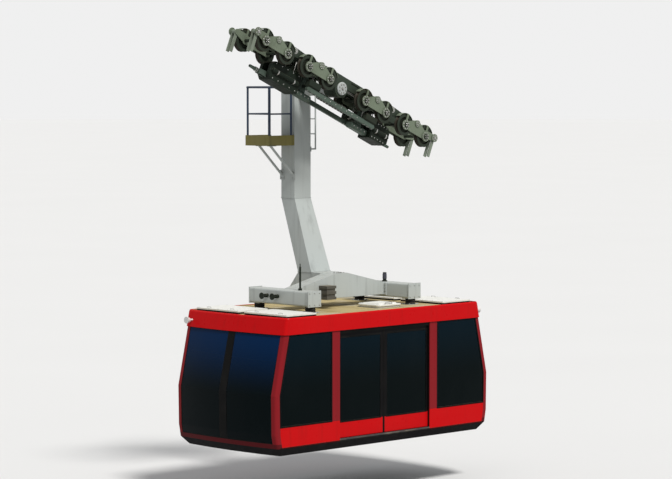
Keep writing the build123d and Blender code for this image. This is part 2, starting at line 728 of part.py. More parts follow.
def hanger_ladder():
    """A short ladder on the column's other face."""
    x = PIN_X + COLUMN_X / 2
    z0, z1 = LADDER_FOOT_Z, LADDER_FOOT_Z + LADDER_STEP * (LADDER_RUNGS + 1)
    out = x + LADDER_OUT
    pieces = []
    for side in SIDES:
        y = HANGER_OUT + side * LADDER_W / 2
        pieces.append(pipe([(x, y, z0), (out, y, z0), (out, y, z1), (x, y, z1)], LADDER_STILE_D))
    y0, y1 = HANGER_OUT - LADDER_W / 2, HANGER_OUT + LADDER_W / 2
    for i in range(LADDER_RUNGS):
        z = z0 + LADDER_STEP * (i + 1)
        pieces.append(rod((out, y0, z), (out, y1, z), LADDER_RUNG_D))
    return fused(pieces)


# Cabin: every wall is cut from one leaning, bowed body

# rows: level down from the roof band's top, half length at the corners, half width
LEVELS = [
    (0.0, CABIN_HALF_L - ROOF_IN, CABIN_HALF_W),
    (WAIST_DOWN, CABIN_HALF_L, CABIN_HALF_W),
    (TUCK_DOWN, CABIN_HALF_L - TUCK_IN, CABIN_HALF_W),
    (SILL_DOWN, CABIN_HALF_L - SILL_IN, CABIN_HALF_W),
    (BELLY_DOWN, CABIN_HALF_L - BELLY_IN, CABIN_HALF_W - BELLY_SIDE_IN),
]


def size_at(down):
    """Half length and half width at a level, continued past the first and last rows."""
    index = max(i for i in range(len(LEVELS) - 1) if i == 0 or LEVELS[i][0] < down)
    (d0, x0, y0), (d1, x1, y1) = LEVELS[index:index + 2]
    share = (down - d0) / (d1 - d0)
    return x0 + (x1 - x0) * share, y0 + (y1 - y0) * share


def marks(down0, down1):
    """The levels at which a cut between two levels changes its lean."""
    return [down0] + [row[0] for row in LEVELS if down0 < row[0] < down1] + [down1]


def plan(down, inset):
    """The cabin's outline at one level, each side moved in by the inset."""
    x, y = (size - inset for size in size_at(down))
    ring = (Line((-x, -y), (x, -y)) + ThreePointArc((x, -y), (x + END_BOW, 0), (x, y))
            + Line((x, y), (-x, y)) + ThreePointArc((-x, y), (-x - END_BOW, 0), (-x, -y)))
    face = make_face(ring)
    face = fillet(face.vertices(), max(CORNER_R - inset, INNER_CORNER_R))
    return Pos(PIN_X, 0, ROOF_Z - down) * face


def body(down0, down1, inset):
    """The cabin's block between two levels."""
    return loft([plan(d, inset) for d in marks(down0, down1)], ruled=True)


def shell(down0, down1, inset, thickness):
    """A skin all round between two levels."""
    return body(down0, down1, inset) - body(down0 - 1, down1 + 1, inset + thickness)


def side_zone(back, down0, down1):
    """The part of the cabin between its two pairs of corner pillars."""
    right = [(size_at(d)[0] - back, -d) for d in marks(down0, down1)]
    left = [(-x, z) for x, z in reversed(right)]
    return Pos(PIN_X, 0, ROOF_Z) * across(outline(right + left), -2 * CABIN_HALF_W, 2 * CABIN_HALF_W)


REACH = CABIN_HALF_L + CABIN_HALF_W    # longer than half the cabin, for cuts
END_PANE_HALF = CABIN_HALF_W - BAND_T - PILLAR_END


def cabin_walls():
    """Two side walls and two end frames, with their windows and doorways cut."""
    ring = shell(DECK_DOWN, SILL_DOWN, BAND_T, WALL)
    zone = side_zone(BAND_T + PILLAR_SIDE, DECK_DOWN - 5, SILL_DOWN + 5)
    sides, ends = ring & zone, ring - zone
    for sign in SIDES:
        sides -= block(PIN_X + sign * POST_EDGE, PIN_X + sign * REACH, -REACH, REACH,
                       ROOF_Z - WINDOW_FOOT, CEILING_Z)
    sides -= block(PIN_X - DOOR_X, PIN_X + DOOR_X, -REACH, REACH, ROOF_Z - SILL_DOWN - 1, CEILING_Z)
    ends -= block(-REACH, REACH, -END_PANE_HALF, END_PANE_HALF, ROOF_Z - SILL_DOWN + END_SILL_H, CEILING_Z)
    near = [s for s in sides.solids() if s.center().Y < 0]
    far = [s for s in sides.solids() if s.center().Y > 0]
    return near, far, ends.solids()


def cabin_glass():
    """Side panes in the end bays, and end panes either side of the middle post."""
    foot = SILL_DOWN - END_SILL_H
    skin = shell(BAND_DOWN, foot, BAND_T + GLASS_IN, GLASS_T)
    zone = side_zone(BAND_T + PILLAR_SIDE, BAND_DOWN - 5, SILL_DOWN)
    low = ROOF_Z - BELLY_DOWN
    sides = skin & zone
    sides -= block(PIN_X - POST_EDGE, PIN_X + POST_EDGE, -REACH, REACH, low, ROOF_Z)
    sides -= block(-REACH, REACH, -REACH, REACH, low, ROOF_Z - WINDOW_FOOT)
    ends = skin - zone
    ends &= block(-REACH, REACH, -END_PANE_HALF, END_PANE_HALF, low, ROOF_Z)
    ends -= block(-REACH, REACH, -MULLION_W / 2, MULLION_W / 2, low, ROOF_Z)
    return sides.solids(), ends.solids()


def end_posts():
    """The dark posts in the middle of the end windows."""
    ring = shell(BAND_DOWN, SILL_DOWN - END_SILL_H, BAND_T + 2, WALL - 2)
    return (ring & block(-REACH, REACH, -MULLION_W / 2, MULLION_W / 2, ROOF_Z - BELLY_DOWN, ROOF_Z)).solids()


def roof_band():
    """The red band round the roof's edge, bevelled along its top."""
    outer = loft([plan(0, BAND_BEVEL), plan(BAND_BEVEL_H, 0)], ruled=True) + body(BAND_BEVEL_H, BAND_DOWN, 0)
    return outer - body(-1, BAND_DOWN + 1, BAND_T)


def roof_deck():
    """The walkable roof skin."""
    return body(ROOF_STEP, DECK_DOWN, BAND_T)


def ceiling():
    """The lining under the roof."""
    return body(BAND_DOWN - CEILING_T, BAND_DOWN, BAND_T + WALL)


def roof_panel(sx, sy):
    """A raised end panel on small feet."""
    x0, x1 = CROSS_X + CROSS_W / 2 + PANEL_START, CABIN_HALF_L - ROOF_IN - PANEL_BACK
    y1 = CABIN_HALF_W - PANEL_SIDE
    sheet = block(x0, x1, PANEL_GAP, y1, PANEL_LIFT, PANEL_LIFT + PANEL_T)
    pieces = [fillet(sheet.edges().filter_by(Axis.Z), PANEL_R)]
    foot = PANEL_FOOT / 2
    for x in (x0 + PANEL_FOOT, x1 - PANEL_FOOT):
        for y in (PANEL_GAP + PANEL_FOOT, y1 - PANEL_FOOT):
            pieces.append(block(x - foot, x + foot, y - foot, y + foot, 0, PANEL_LIFT))
    return Pos(0, 0, -ROOF_STEP) * on_side(fused(pieces), sx, sy)


def roof_hatch():
    """The roof hatch: a kerb and a lid with a raised middle."""
    kerb = fillet(Rectangle(HATCH_L, HATCH_W).vertices(), HATCH_R)
    lid = offset(kerb, amount=HATCH_R / 3)
    middle = offset(kerb, amount=-HATCH_R)
    hatch = extrude(kerb, amount=HATCH_H) + Pos(0, 0, HATCH_H * 0.6) * extrude(lid, amount=HATCH_H * 0.4)
    hatch += Pos(0, 0, HATCH_H) * extrude(middle, amount=HATCH_DOME, taper=20)
    return Pos(PIN_X + HATCH_X, HATCH_SIDE - CABIN_HALF_W, DECK_Z) * hatch


def cabin_floor():
    """The floor, with thresholds in the doorways."""
    inner = body(SILL_DOWN - FLOOR_T, SILL_DOWN, BAND_T + WALL)
    sill_y = CABIN_HALF_W - BAND_T
    return inner + block(PIN_X - DOOR_X, PIN_X + DOOR_X, -sill_y, sill_y, FLOOR_Z - FLOOR_T, FLOOR_Z)


def underframe():
    """The dark pan under the floor, chamfered all round, with two skids and a floor hatch's cover."""
    outer = body(SILL_DOWN, BELLY_DOWN, BAND_T)
    pan = outer - body(SILL_DOWN - 1, BELLY_DOWN - PAN_T, BAND_T + PAN_WALL)
    skid = outline([(-SKID_HALF, 0), (SKID_HALF, 0), (SKID_HALF - SKID_H, -SKID_H), (SKID_H - SKID_HALF, -SKID_H)])
    belly = Pos(PIN_X, 0, ROOF_Z - BELLY_DOWN)
    for side in SIDES:
        pan += belly * across(skid, side * (SKID_Y - SKID_W / 2), side * (SKID_Y + SKID_W / 2))
    cover = Pos(FLOOR_HATCH_X, 0, -FLOOR_HATCH_T / 2) * Box(FLOOR_HATCH_L, FLOOR_HATCH_W, FLOOR_HATCH_T)
    return pan + belly * fillet(cover.edges().filter_by(Axis.Z), FLOOR_HATCH_R)


# Doors: each leaf hangs in a track inside the wall and slides behind the window

LEAF_TOP = BAND_DOWN + TRACK_H + 4
LEAF_FOOT = SILL_DOWN - FLOOR_T - 8
LEAF_OUT = CABIN_HALF_W - BAND_T - WALL - LEAF_CLEAR
LEAF_MID = LEAF_OUT - LEAF_T / 2
# the pane's edges: inner X, outer X, foot, top
LEAF_PANE = (LEAF_MEET / 2 + LEAF_STILE, LEAF_END - LEAF_STILE,
             -WINDOW_FOOT - LEAF_PANE_FOOT, -LEAF_TOP - LEAF_RAIL)


def door_leaf(sx, sy):
    """One leaf's frame, with its tongue in the track."""
    x0, x1 = LEAF_MEET / 2, LEAF_END
    frame = block(x0, x1, LEAF_OUT - LEAF_T, LEAF_OUT, -LEAF_FOOT, -LEAF_TOP)
    pane_x0, pane_x1, pane_z0, pane_z1 = LEAF_PANE
    frame -= block(pane_x0, pane_x1, LEAF_OUT - 2 * LEAF_T, LEAF_OUT + 1, pane_z0, pane_z1)
    tongue = TRACK_SLOT / 2 - SEAT
    frame += block(x0 + TONGUE_END, x1 - TONGUE_END, LEAF_MID - tongue, LEAF_MID + tongue,
                   -LEAF_TOP, -LEAF_TOP + TONGUE_H)
    return on_side(frame, sx, sy)


def door_pane(sx, sy):
    """One leaf's glass."""
    x0, x1, z0, z1 = LEAF_PANE
    return on_side(block(x0, x1, LEAF_OUT - PANE_IN - PANE_T, LEAF_OUT - PANE_IN, z0, z1), sx, sy)


def door_track(sy):
    """A slotted rail over a pair of leaves."""
    half = LEAF_END + LEAF_OPEN - TRACK_END
    low = -BAND_DOWN - TRACK_H
    rail = block(-half, half, LEAF_MID - TRACK_W / 2, LEAF_MID + TRACK_W / 2, low, -BAND_DOWN)
    rail -= block(-half - 1, half + 1, LEAF_MID - TRACK_SLOT / 2, LEAF_MID + TRACK_SLOT / 2,
                  low - 1, low + TRACK_SLOT_H)
    return on_side(rail, 1, sy)


# Inside

def grab_pole_pair(sy):
    """Two poles from floor to ceiling with a rail between them."""
    y = sy * POLE_Y
    z = CEILING_Z - POLE_RAIL_DROP
    pieces = [rod((PIN_X - POLE_X, y, z), (PIN_X + POLE_X, y, z), POLE_D)]
    for sx in SIDES:
        x = PIN_X + sx * POLE_X
        pieces.append(rod((x, y, FLOOR_Z), (x, y, CEILING_Z), POLE_D))
    return fused(pieces)


def operator_desk():
    """The attendant's desk at the downhill end, with a sloped top."""
    x1 = PIN_X + CABIN_HALF_L - SILL_IN - DESK_BACK
    x0 = x1 - DESK_D
    slope = DESK_D / 2
    face = outline([(x0, 0), (x1, 0), (x1, DESK_H), (x1 - slope / 2, DESK_H), (x0, DESK_H - slope)])
    y0 = DESK_SIDE - CABIN_HALF_W
    return Pos(0, 0, FLOOR_Z) * across(face, y0, y0 + DESK_W)


def corner_lamp(sx, sy):
    """A small lamp on a stem, on the roof band at a corner."""
    x, half_w = size_at(LAMP_DOWN)
    y = half_w - LAMP_SIDE
    x += END_BOW * (1 - (y / half_w) ** 2)
    neck = x + LAMP_REACH / 2
    lamp = rod((x - BAND_T, y, -LAMP_DOWN), (neck, y, -LAMP_DOWN), LAMP_STEM_D)
    lamp += Pos(neck, y, -LAMP_DOWN) * Rot(0, 90, 0) * Cone(
        LAMP_NECK_R, LAMP_R, LAMP_REACH / 2, align=(Align.CENTER, Align.CENTER, Align.MIN))
    return on_side(lamp, sx, sy) - body(0, BAND_DOWN, 0)


os.makedirs("parts", exist_ok=True)

save("main_beam", main_beam())
save("rocker_pins", *[rocker_pin(sign) for sign in SIDES])
save("rockers", *[rocker(sign, side) for sign in SIDES for side in SIDES])
for end_name, sign in (("uphill", -1), ("downhill", 1)):
    for row, s in enumerate(BOGIES, 1):
        last = row == len(BOGIES)
        save(f"bogies_{end_name}_{row}", *[bogie(sign, sign * s, side, last) for side in SIDES])
    for row, s in enumerate(AXLES, 1):
        save(f"wheel_pair_{end_name}_{row}", wheel_pair(sign * s))
save("rope_forks", *[rope_fork(sign, side) for sign in SIDES for side in SIDES])
save("haul_rope_anchors", haul_rope_anchor(-1, TOW_END_UPHILL), haul_rope_anchor(1, TOW_END_DOWNHILL))
save("rope_brakes", *[rope_brake(sign, side) for sign in SIDES for side in SIDES])
save("brake_bars", *[brake_bar(side) for side in SIDES])
save("brake_spring", brake_spring())
save("hydraulic_unit", hydraulic_unit(-1, UNIT_L_UPHILL), hydraulic_unit(1, UNIT_L_DOWNHILL))

save("hanger_arm", hanger_arm())
save("hanger_column", hanger_column())
save("platform_frame", platform_frame())
save("platform_railing", platform_railing())
save("platform_braces", *[platform_brace(side) for side in SIDES])
save("hanger_ladder", hanger_ladder())
save("roof_spine", roof_spine())
save("cross_beams", *[cross_beam(sign) for sign in SIDES])
save("spring_pads", *[spring_pad(sx, sy) for sx in SIDES for sy in SIDES])
save("spring_packs", spring_pack(-1, -1), spring_pack(1, 1))
save("roof_fittings", *roof_fittings())

near_wall, far_wall, end_frames = cabin_walls()
side_panes, end_panes = cabin_glass()
save("side_wall_near", *near_wall)
save("side_wall_far", *far_wall)
save("end_frames", *end_frames)
save("side_glass", *side_panes)
save("end_glass", *end_panes)
save("end_posts", *end_posts())
save("roof_band", roof_band())
save("roof_deck", roof_deck())
save("ceiling", ceiling())
save("roof_panels", *[roof_panel(sx, sy) for sx in SIDES for sy in SIDES])
save("roof_hatch", roof_hatch())
save("cabin_floor", cabin_floor())
save("underframe", underframe())
for side_name, sy in (("near", -1), ("far", 1)):
    for end_name, sx in (("uphill", -1), ("downhill", 1)):
        save(f"door_leaf_{side_name}_{end_name}", door_leaf(sx, sy))
        save(f"door_pane_{side_name}_{end_name}", door_pane(sx, sy))
save("door_tracks", *[door_track(sy) for sy in SIDES])
save("grab_poles", *[grab_pole_pair(sy) for sy in SIDES])
save("operator_desk", operator_desk())
save("corner_lamps", corner_lamp(1, -1), corner_lamp(-1, 1))
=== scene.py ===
"""Looks of the cable car vehicle.

Materials for every solid of the frame, and the fittings, seals, bolts and pipes that sit on them.
"""

import json
import math

import bmesh
import bpy
from mathutils import Matrix, Vector


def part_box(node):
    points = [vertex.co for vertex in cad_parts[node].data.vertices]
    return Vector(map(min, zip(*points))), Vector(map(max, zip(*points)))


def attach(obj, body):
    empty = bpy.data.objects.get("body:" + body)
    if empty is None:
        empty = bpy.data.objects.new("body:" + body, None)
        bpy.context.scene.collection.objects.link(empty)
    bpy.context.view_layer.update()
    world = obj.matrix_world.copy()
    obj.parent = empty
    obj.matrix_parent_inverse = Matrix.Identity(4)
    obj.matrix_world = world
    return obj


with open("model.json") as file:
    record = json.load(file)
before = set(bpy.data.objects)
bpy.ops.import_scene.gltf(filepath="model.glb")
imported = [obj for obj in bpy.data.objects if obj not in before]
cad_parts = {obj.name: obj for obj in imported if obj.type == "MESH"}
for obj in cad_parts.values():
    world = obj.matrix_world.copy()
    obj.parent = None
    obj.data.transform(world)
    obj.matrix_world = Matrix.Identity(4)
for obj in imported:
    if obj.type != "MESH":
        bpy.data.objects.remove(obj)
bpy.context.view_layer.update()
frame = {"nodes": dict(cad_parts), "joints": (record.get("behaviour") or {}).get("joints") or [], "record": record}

# Frame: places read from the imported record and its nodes, in metres
RECORD = frame["record"]
JOINTS = {joint["name"]: joint for joint in frame["joints"]}
PIN = Vector(JOINTS["hanger_swing"]["pos_m"])
ROPE_LINE = next(m for m in RECORD["mounts"] if m["name"] == "track_ropes")["axis"]
SLOPE = math.atan2(-ROPE_LINE[2], ROPE_LINE[0])
ROPES = Matrix.Rotation(SLOPE, 4, "Y")
CARRIAGE = "carriage"
CABIN = "hanger_and_cabin"
UP, DOWN = (0, 0, 1), (0, 0, -1)
SIDES = (-1, 1)
CORNERS = [(end, side) for end in SIDES for side in SIDES]

ROOF_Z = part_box("roof_band")[1][2]
BAND_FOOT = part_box("roof_band")[0][2]
BAND_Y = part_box("roof_band")[1][1]
WALL_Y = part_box("side_wall_far")[1][1]
DECK_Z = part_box("roof_deck")[1][2]
SILL_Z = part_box("side_wall_near")[0][2]
FLOOR_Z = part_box("cabin_floor")[1][2]
CEILING_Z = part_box("ceiling")[0][2]
BELLY_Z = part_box("underframe")[0][2]

# Cabin. CABIN_LEVELS gives levels down from the roof, and how far the ends stand in from the waist there.
CABIN_HALF = 2.775
CABIN_LEVELS = ((0.0, 0.305), (1.35, 0.0), (2.05, 0.010), (2.28, 0.055), (2.42, 0.185))
END_BOW = 0.080
BAND_T = 0.020
GLASS_INSET = 0.026
WAIST, TUCK = CABIN_LEVELS[1][0], CABIN_LEVELS[2][0]
WINDOW_TOP = ROOF_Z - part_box("side_glass")[1][2]
WINDOW_FOOT = ROOF_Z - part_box("side_glass")[0][2]
END_WINDOW_FOOT = ROOF_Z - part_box("end_glass")[0][2]
PILLAR_SIDE = CABIN_HALF - BAND_T - (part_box("side_glass")[1][0] - PIN.x)
END_PANE_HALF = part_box("end_glass")[1][1]
GLASS_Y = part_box("side_glass")[1][1]
DOOR_HALF = 1.17
POST_OUT = 1.37
LEAF_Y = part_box("door_leaf_far_downhill")[1][1]
MULLION_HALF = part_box("end_posts")[1][1]
SEAL_Y, SEAL_OUT_Y = 1.240, 1.264
LINING_Y = 1.20
RAIL_Z = ROOF_Z - 1.20
GRIP_LOW, GRIP_HIGH = FLOOR_Z + 0.90, FLOOR_Z + 1.25

# Roof furniture, along and across from under the main pin
BEAM_X0, BEAM_X1 = 1.15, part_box("cross_beams")[1][0] - PIN.x
BEAM_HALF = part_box("cross_beams")[1][1]
BEAM_FOOT_Z, BEAM_TOP_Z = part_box("cross_beams")[0][2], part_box("cross_beams")[1][2]
SPINE_TOP_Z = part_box("roof_spine")[1][2]
SPINE_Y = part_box("roof_spine")[1][1]
SPRING_X, SPRING_Y = 1.30, BEAM_HALF - 0.11
PANEL_X0, PANEL_X1 = BEAM_X1 + 0.19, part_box("roof_panels")[1][0] - PIN.x
PANEL_Y0, PANEL_Y1 = 0.07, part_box("roof_panels")[1][1]
PANEL_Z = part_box("roof_panels")[1][2]

# Hanger and platform
COLUMN_LOW, COLUMN_HIGH = 0.865, 1.215
COLUMN_Y, COLUMN_D = (COLUMN_LOW + COLUMN_HIGH) / 2, (COLUMN_HIGH - COLUMN_LOW) / 2
COLUMN_X = 0.21
HEAD_Z = PIN.z + 0.229
KNEE_Z = -1.82
FOOT_X, FOOT_Y, FOOT_Z = 0.25, 0.56, SPINE_TOP_Z
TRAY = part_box("platform_frame")
TRAY_FLOOR = TRAY[0][2] + 0.024
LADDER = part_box("hanger_ladder")
BRACKETS = (COLUMN_Y - 0.15, COLUMN_Y + 0.15)

# Carriage, in rope coordinates: along the rope, sideways, square to it
AXLE_H = 0.199
AXLES = [0.50 + 0.58 * i for i in range(4)]
BOGIES = [(AXLES[0] + AXLES[1]) / 2, (AXLES[2] + AXLES[3]) / 2]
BOGIE_PIN_H = AXLE_H + 0.140
ROCKER_PIN = (sum(BOGIES) / 2, AXLE_H + 0.178)
HORN = (AXLES[-1] + 0.240, AXLE_H + 0.070)     # the boss that carries a rope guard
CAP_R = 0.046
BEARING_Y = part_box("bogies_uphill_1")[1][1]
CAP_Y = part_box("wheel_pair_uphill_1")[1][1]
ROCKER_Y = 0.191
ROPE_Y = 0.265
PIN_H = 0.225
HAUL_H = -0.24
BAR_LOW, BAR_H = -0.195, -0.156
SPRING_H = -0.060
UNITS = {-1: (1.02, 1.78), 1: (1.02, 1.50)}    # both ends of the hydraulic units, uphill and downhill
UNIT_Y, UNIT_TOP = 0.15, 0.03
TANK = (0.158, -0.145)                         # the middle of a unit's tank, sideways and up

# Colours, linear
RED = (0.56, 0.004, 0.006)
WINE = (0.24, 0.013, 0.018)
# The colour below is the end frames' red under the end windows, darkened as painted shade where they tuck under.
SILL_WINE_PAINTED_SHADE = (0.10, 0.008, 0.011)
CREAM = (0.80, 0.80, 0.76)
GREY_PAINT = (0.44, 0.475, 0.465)
OLIVE = (0.19, 0.165, 0.035)
NAVY = (0.012, 0.028, 0.060)
SAND = (0.50, 0.40, 0.19)
STAIN = (0.36, 0.27, 0.10)
WORN_SAND = (0.50, 0.46, 0.36)
ZINC = (0.195, 0.235, 0.170)
PALE_ZINC = (0.245, 0.285, 0.225)
BLACK = (0.004, 0.004, 0.005)
DARK_TINT = (0.001, 0.0025, 0.002)
DIRT_AND_SHADE = (0.017, 0.018, 0.011)
# The dark colour below serves for dirt, and for the painted shade in corners.
RUST = (0.11, 0.050, 0.02)
DUST = (0.42, 0.36, 0.26)
STEEL = (0.40, 0.40, 0.38)
BRIGHT_STEEL = (0.6, 0.6, 0.58)
LINING = (0.36, 0.36, 0.34)

# Studio. BACKGROUND and FLOOR_SEEN are what the eye, mirrors and glass show; they light nothing.
AMBIENT = 0.42
SKY = (0.97, 0.985, 1.0)
SUN_STRENGTH = 2.9
SUN_COLOUR = (1.0, 0.985, 0.955)
SUN_SPREAD = math.radians(12)
SUN_FROM = Vector((-0.16, -0.60, 0.78))
BACKGROUND = 0.87
FLOOR_SEEN = ((0.755, 0.755, 0.755), (0.775, 0.775, 0.775))
FLOOR_BOUNCE = (0.45, 0.45, 0.45)
FLOOR_DROP = 0.9
FLOOR_R = 400
CAMERA_AT = Vector((-34.997, -35.013, 0.489))
AIM = Vector((0.10, 0.0, -2.56))
PHOTO_F = 1300.1             # the photograph's focal length in its own pixels
PHOTO_W = 672
SENSOR = 36.0
ZOOM = 2.08

SHARP = math.radians(32)     # faces that meet at more than this keep a hard edge
LOOKS = {}                   # every finish by its name


class Nodes:
    """A node tree that is built up in small steps."""

    def __init__(self, tree):
        self.tree = tree

    def node(self, kind, inputs=None, **settings):
        """A node with its settings; inputs gives what its sockets are fed, by name or number."""
        made = self.tree.nodes.new(kind)
        for key, value in settings.items():
            setattr(made, key, value)
        for key, value in (inputs or {}).items():
            self.feed(made.inputs[key], value)
        return made

    def feed(self, socket, value):
        """Link a socket to another's output, or set its value."""
        if isinstance(value, bpy.types.NodeSocket):
            self.tree.links.new(value, socket)
        elif isinstance(value, tuple) and len(value) == 3 and socket.type == "RGBA":
            socket.default_value = (*value, 1.0)
        else:
            socket.default_value = value

    def math(self, operation, a, b, clamp=False):
        return self.node("ShaderNodeMath", {0: a, 1: b}, operation=operation, use_clamp=clamp).outputs[0]

    def either(self, factor, a, b):
        """Mix two shaders."""
        return self.node("ShaderNodeMixShader", {0: factor, 1: a, 2: b}).outputs[0]

    def seen(self):
        """1 for rays that show a thing, straight, in a mirror or through glass; 0 for scattered light."""
        ray = self.node("ShaderNodeLightPath").outputs
        sharp = self.math("MAXIMUM", ray["Is Glossy Ray"], ray["Is Transmission Ray"])
        return self.math("MAXIMUM", ray["Is Camera Ray"], sharp)


class Surface(Nodes):
    """A principled material, entered in LOOKS under its name."""

    def __init__(self, name, roughness=0.5, metallic=0.0, gloss=0.5):
        LOOKS[name] = material = bpy.data.materials.new(name)
        material.use_nodes = True
        super().__init__(material.node_tree)
        self.shader = self.tree.nodes["Principled BSDF"]
        self.set("Roughness", roughness)
        self.set("Metallic", metallic)
        self.set("Specular IOR Level", gloss)
        self.coordinates = self.node("ShaderNodeTexCoord").outputs
        self.place = self.coordinates["Object"]

    def set(self, socket, value):
        self.shader.inputs[socket].default_value = value

    def mix(self, factor, a, b):
        return self.node("ShaderNodeMix", {0: factor, 6: a, 7: b}, data_type="RGBA").outputs[2]

    def noise(self, scale, detail=3.0, stretch=None):
        place = self.place
        if stretch:
            place = self.node("ShaderNodeMapping", {"Vector": place, "Scale": stretch}).outputs[0]
        inputs = {"Vector": place, "Scale": scale, "Detail": detail}
        return self.node("ShaderNodeTexNoise", inputs).outputs["Fac"]

    def cells(self, scale):
        return self.node("ShaderNodeTexVoronoi", {"Vector": self.place, "Scale": scale}).outputs["Distance"]

    def remap(self, value, low, high, to_low=0.0, to_high=1.0):
        inputs = dict(enumerate((value, low, high, to_low, to_high)))
        return self.node("ShaderNodeMapRange", inputs, interpolation_type="SMOOTHSTEP").outputs[0]

    def axis(self, name, of="Object"):
        """A coordinate of the place on the object or, of the Normal, how far it faces along the axis."""
        return self.node("ShaderNodeSeparateXYZ", {0: self.coordinates[of]}).outputs[name]

    def crevices(self, distance=0.08):
        """0 in the open, 1 deep in a corner."""
        reach = self.node("ShaderNodeAmbientOcclusion", {"Distance": distance}, samples=6)
        return self.math("SUBTRACT", 1.0, reach.outputs["AO"])

    def edges(self, radius=0.006):
        """A mask, 1 on outer edges and 0 on flats, and the normal rounded over the edges."""
        rounded = self.node("ShaderNodeBevel", {"Radius": radius}, samples=4).outputs[0]
        flat = self.node("ShaderNodeNewGeometry").outputs["Normal"]
        product = self.node("ShaderNodeVectorMath", {0: rounded, 1: flat}, operation="DOT_PRODUCT")
        return self.remap(product.outputs["Value"], 0.99, 0.80), rounded

    def bump(self, height, strength, distance, normal=None):
        inputs = {"Strength": strength, "Distance": distance, "Height": height}
        if normal:
            inputs["Normal"] = normal
        return self.node("ShaderNodeBump", inputs).outputs[0]

    def finish(self, colour, roughness=None, normal=None):
        for socket, value in (("Base Color", colour), ("Roughness", roughness), ("Normal", normal)):
            if value is not None:
                self.feed(self.shader.inputs[socket], value)


def darker(colour, share):
    """A colour at a share of its strength."""
    return tuple(c * share for c in colour)


def painted(name, colour, under=DIRT_AND_SHADE, rough=0.42, wear=0.5, grime=0.5, dust=0.4, haze=0.35, gloss=0.4,
            peel=0.10, second=None, split=None, lined=None):
    """Weathered paint: mottled tone, streaks, dust on top, dirt and painted shade in corners, wear on edges.

    second is the colour above the height split. lined is the axis along which faces that look into the
    cabin get the lining's colour.
    """
    s = Surface(name, gloss=gloss)
    broad = s.noise(0.9, 4.0)
    fine = s.noise(14.0, 5.0)
    streak = s.noise(1.0, 4.0, stretch=(9.0, 9.0, 0.55))
    base = colour
    if second:
        base = s.mix(s.remap(s.axis("Z"), split - 0.002, split + 0.002), colour, second)
    if lined:
        outward = s.math("MULTIPLY", s.axis(lined), s.axis(lined, of="Normal"))
        base = s.mix(s.remap(outward, -0.4, -0.8), base, LINING)
    base = s.mix(s.remap(broad, 0.35, 0.75, 0.0, haze), base, s.mix(0.5, base, DUST))
    base = s.mix(s.math("MULTIPLY", s.remap(streak, 0.50, 0.78), grime * 0.6), base, DIRT_AND_SHADE)
    # Corners and hollows, found by an occlusion mask, are darkened towards the dirt colour: grime, and painted
    # shade.
    corner_dirt_and_shade = s.math("MULTIPLY", s.remap(s.crevices(), 0.25, 0.95), grime)
    base = s.mix(corner_dirt_and_shade, base, DIRT_AND_SHADE)
    on_top = s.remap(s.axis("Z", of="Normal"), 0.35, 0.95)
    settled = s.math("MULTIPLY", on_top, s.remap(fine, 0.30, 0.70, 0.3 * dust, dust))
    base = s.mix(settled, base, DUST)
    edge, rounded = s.edges()
    bare = s.math("MULTIPLY", edge, s.remap(fine, 0.50, 0.62))
    base = s.mix(s.math("MULTIPLY", bare, wear), base, under)
    roughness = s.remap(fine, 0.2, 0.8, rough - 0.06, rough + 0.14)
    roughness = s.math("ADD", roughness, s.math("MULTIPLY", settled, 0.4), clamp=True)
    s.finish(base, roughness, s.bump(s.noise(160.0, 2.0), peel, 0.002, rounded))


def galvanised(name, colour, grime=0.7):
    """Dull zinc with spangles, oily dirt and painted shade in the corners, and rust at some edges."""
    s = Surface(name, metallic=0.35, gloss=0.15)
    spangle = s.cells(55.0)
    broad = s.noise(2.2, 5.0)
    tone = s.mix(s.remap(spangle, 0.1, 0.7, 0.0, 0.30), colour, darker(colour, 0.62))
    tone = s.mix(s.remap(broad, 0.45, 0.72, 0.0, grime), tone, s.mix(0.4, tone, DIRT_AND_SHADE))
    # Corners, found by an occlusion mask, are darkened towards the dirt colour: oily dirt, and painted shade.
    tone = s.mix(s.math("MULTIPLY", s.remap(s.crevices(0.10), 0.2, 0.8), grime), tone, DIRT_AND_SHADE)
    edge, rounded = s.edges(0.005)
    tone = s.mix(s.math("MULTIPLY", edge, s.remap(broad, 0.52, 0.64)), tone, RUST)
    s.finish(tone, s.remap(broad, 0.2, 0.8, 0.4, 0.7), s.bump(spangle, 0.08, 0.002, rounded))


def machined(name):
    """Turned or milled steel with a film of oil."""
    s = Surface(name, metallic=0.9)
    film = s.noise(5.0, 5.0)
    tone = s.mix(s.remap(film, 0.5, 0.8, 0.0, 0.6), STEEL, DIRT_AND_SHADE)
    edge, rounded = s.edges(0.003)
    tone = s.mix(s.math("MULTIPLY", edge, 0.5), tone, BRIGHT_STEEL)
    lines = s.noise(90.0, 2.0, stretch=(1.0, 12.0, 1.0))
    s.finish(tone, s.remap(film, 0.3, 0.8, 0.32, 0.57), s.bump(lines, 0.06, 0.001, rounded))


def rubber(name, colour=BLACK, rough=0.7, gloss=0.2):
    """Black rubber, greyed and dusty."""
    s = Surface(name, gloss=gloss)
    grain = s.noise(70.0, 4.0)
    tone = s.mix(s.remap(s.noise(3.0, 5.0), 0.4, 0.8, 0.0, 0.3), colour, (0.02, 0.018, 0.016))
    tone = s.mix(s.remap(s.axis("Z", of="Normal"), 0.4, 1.0, 0.0, 0.25), tone, DUST)
    s.finish(tone, s.remap(grain, 0.3, 0.7, rough - 0.08, rough + 0.12), s.bump(grain, 0.15, 0.002))


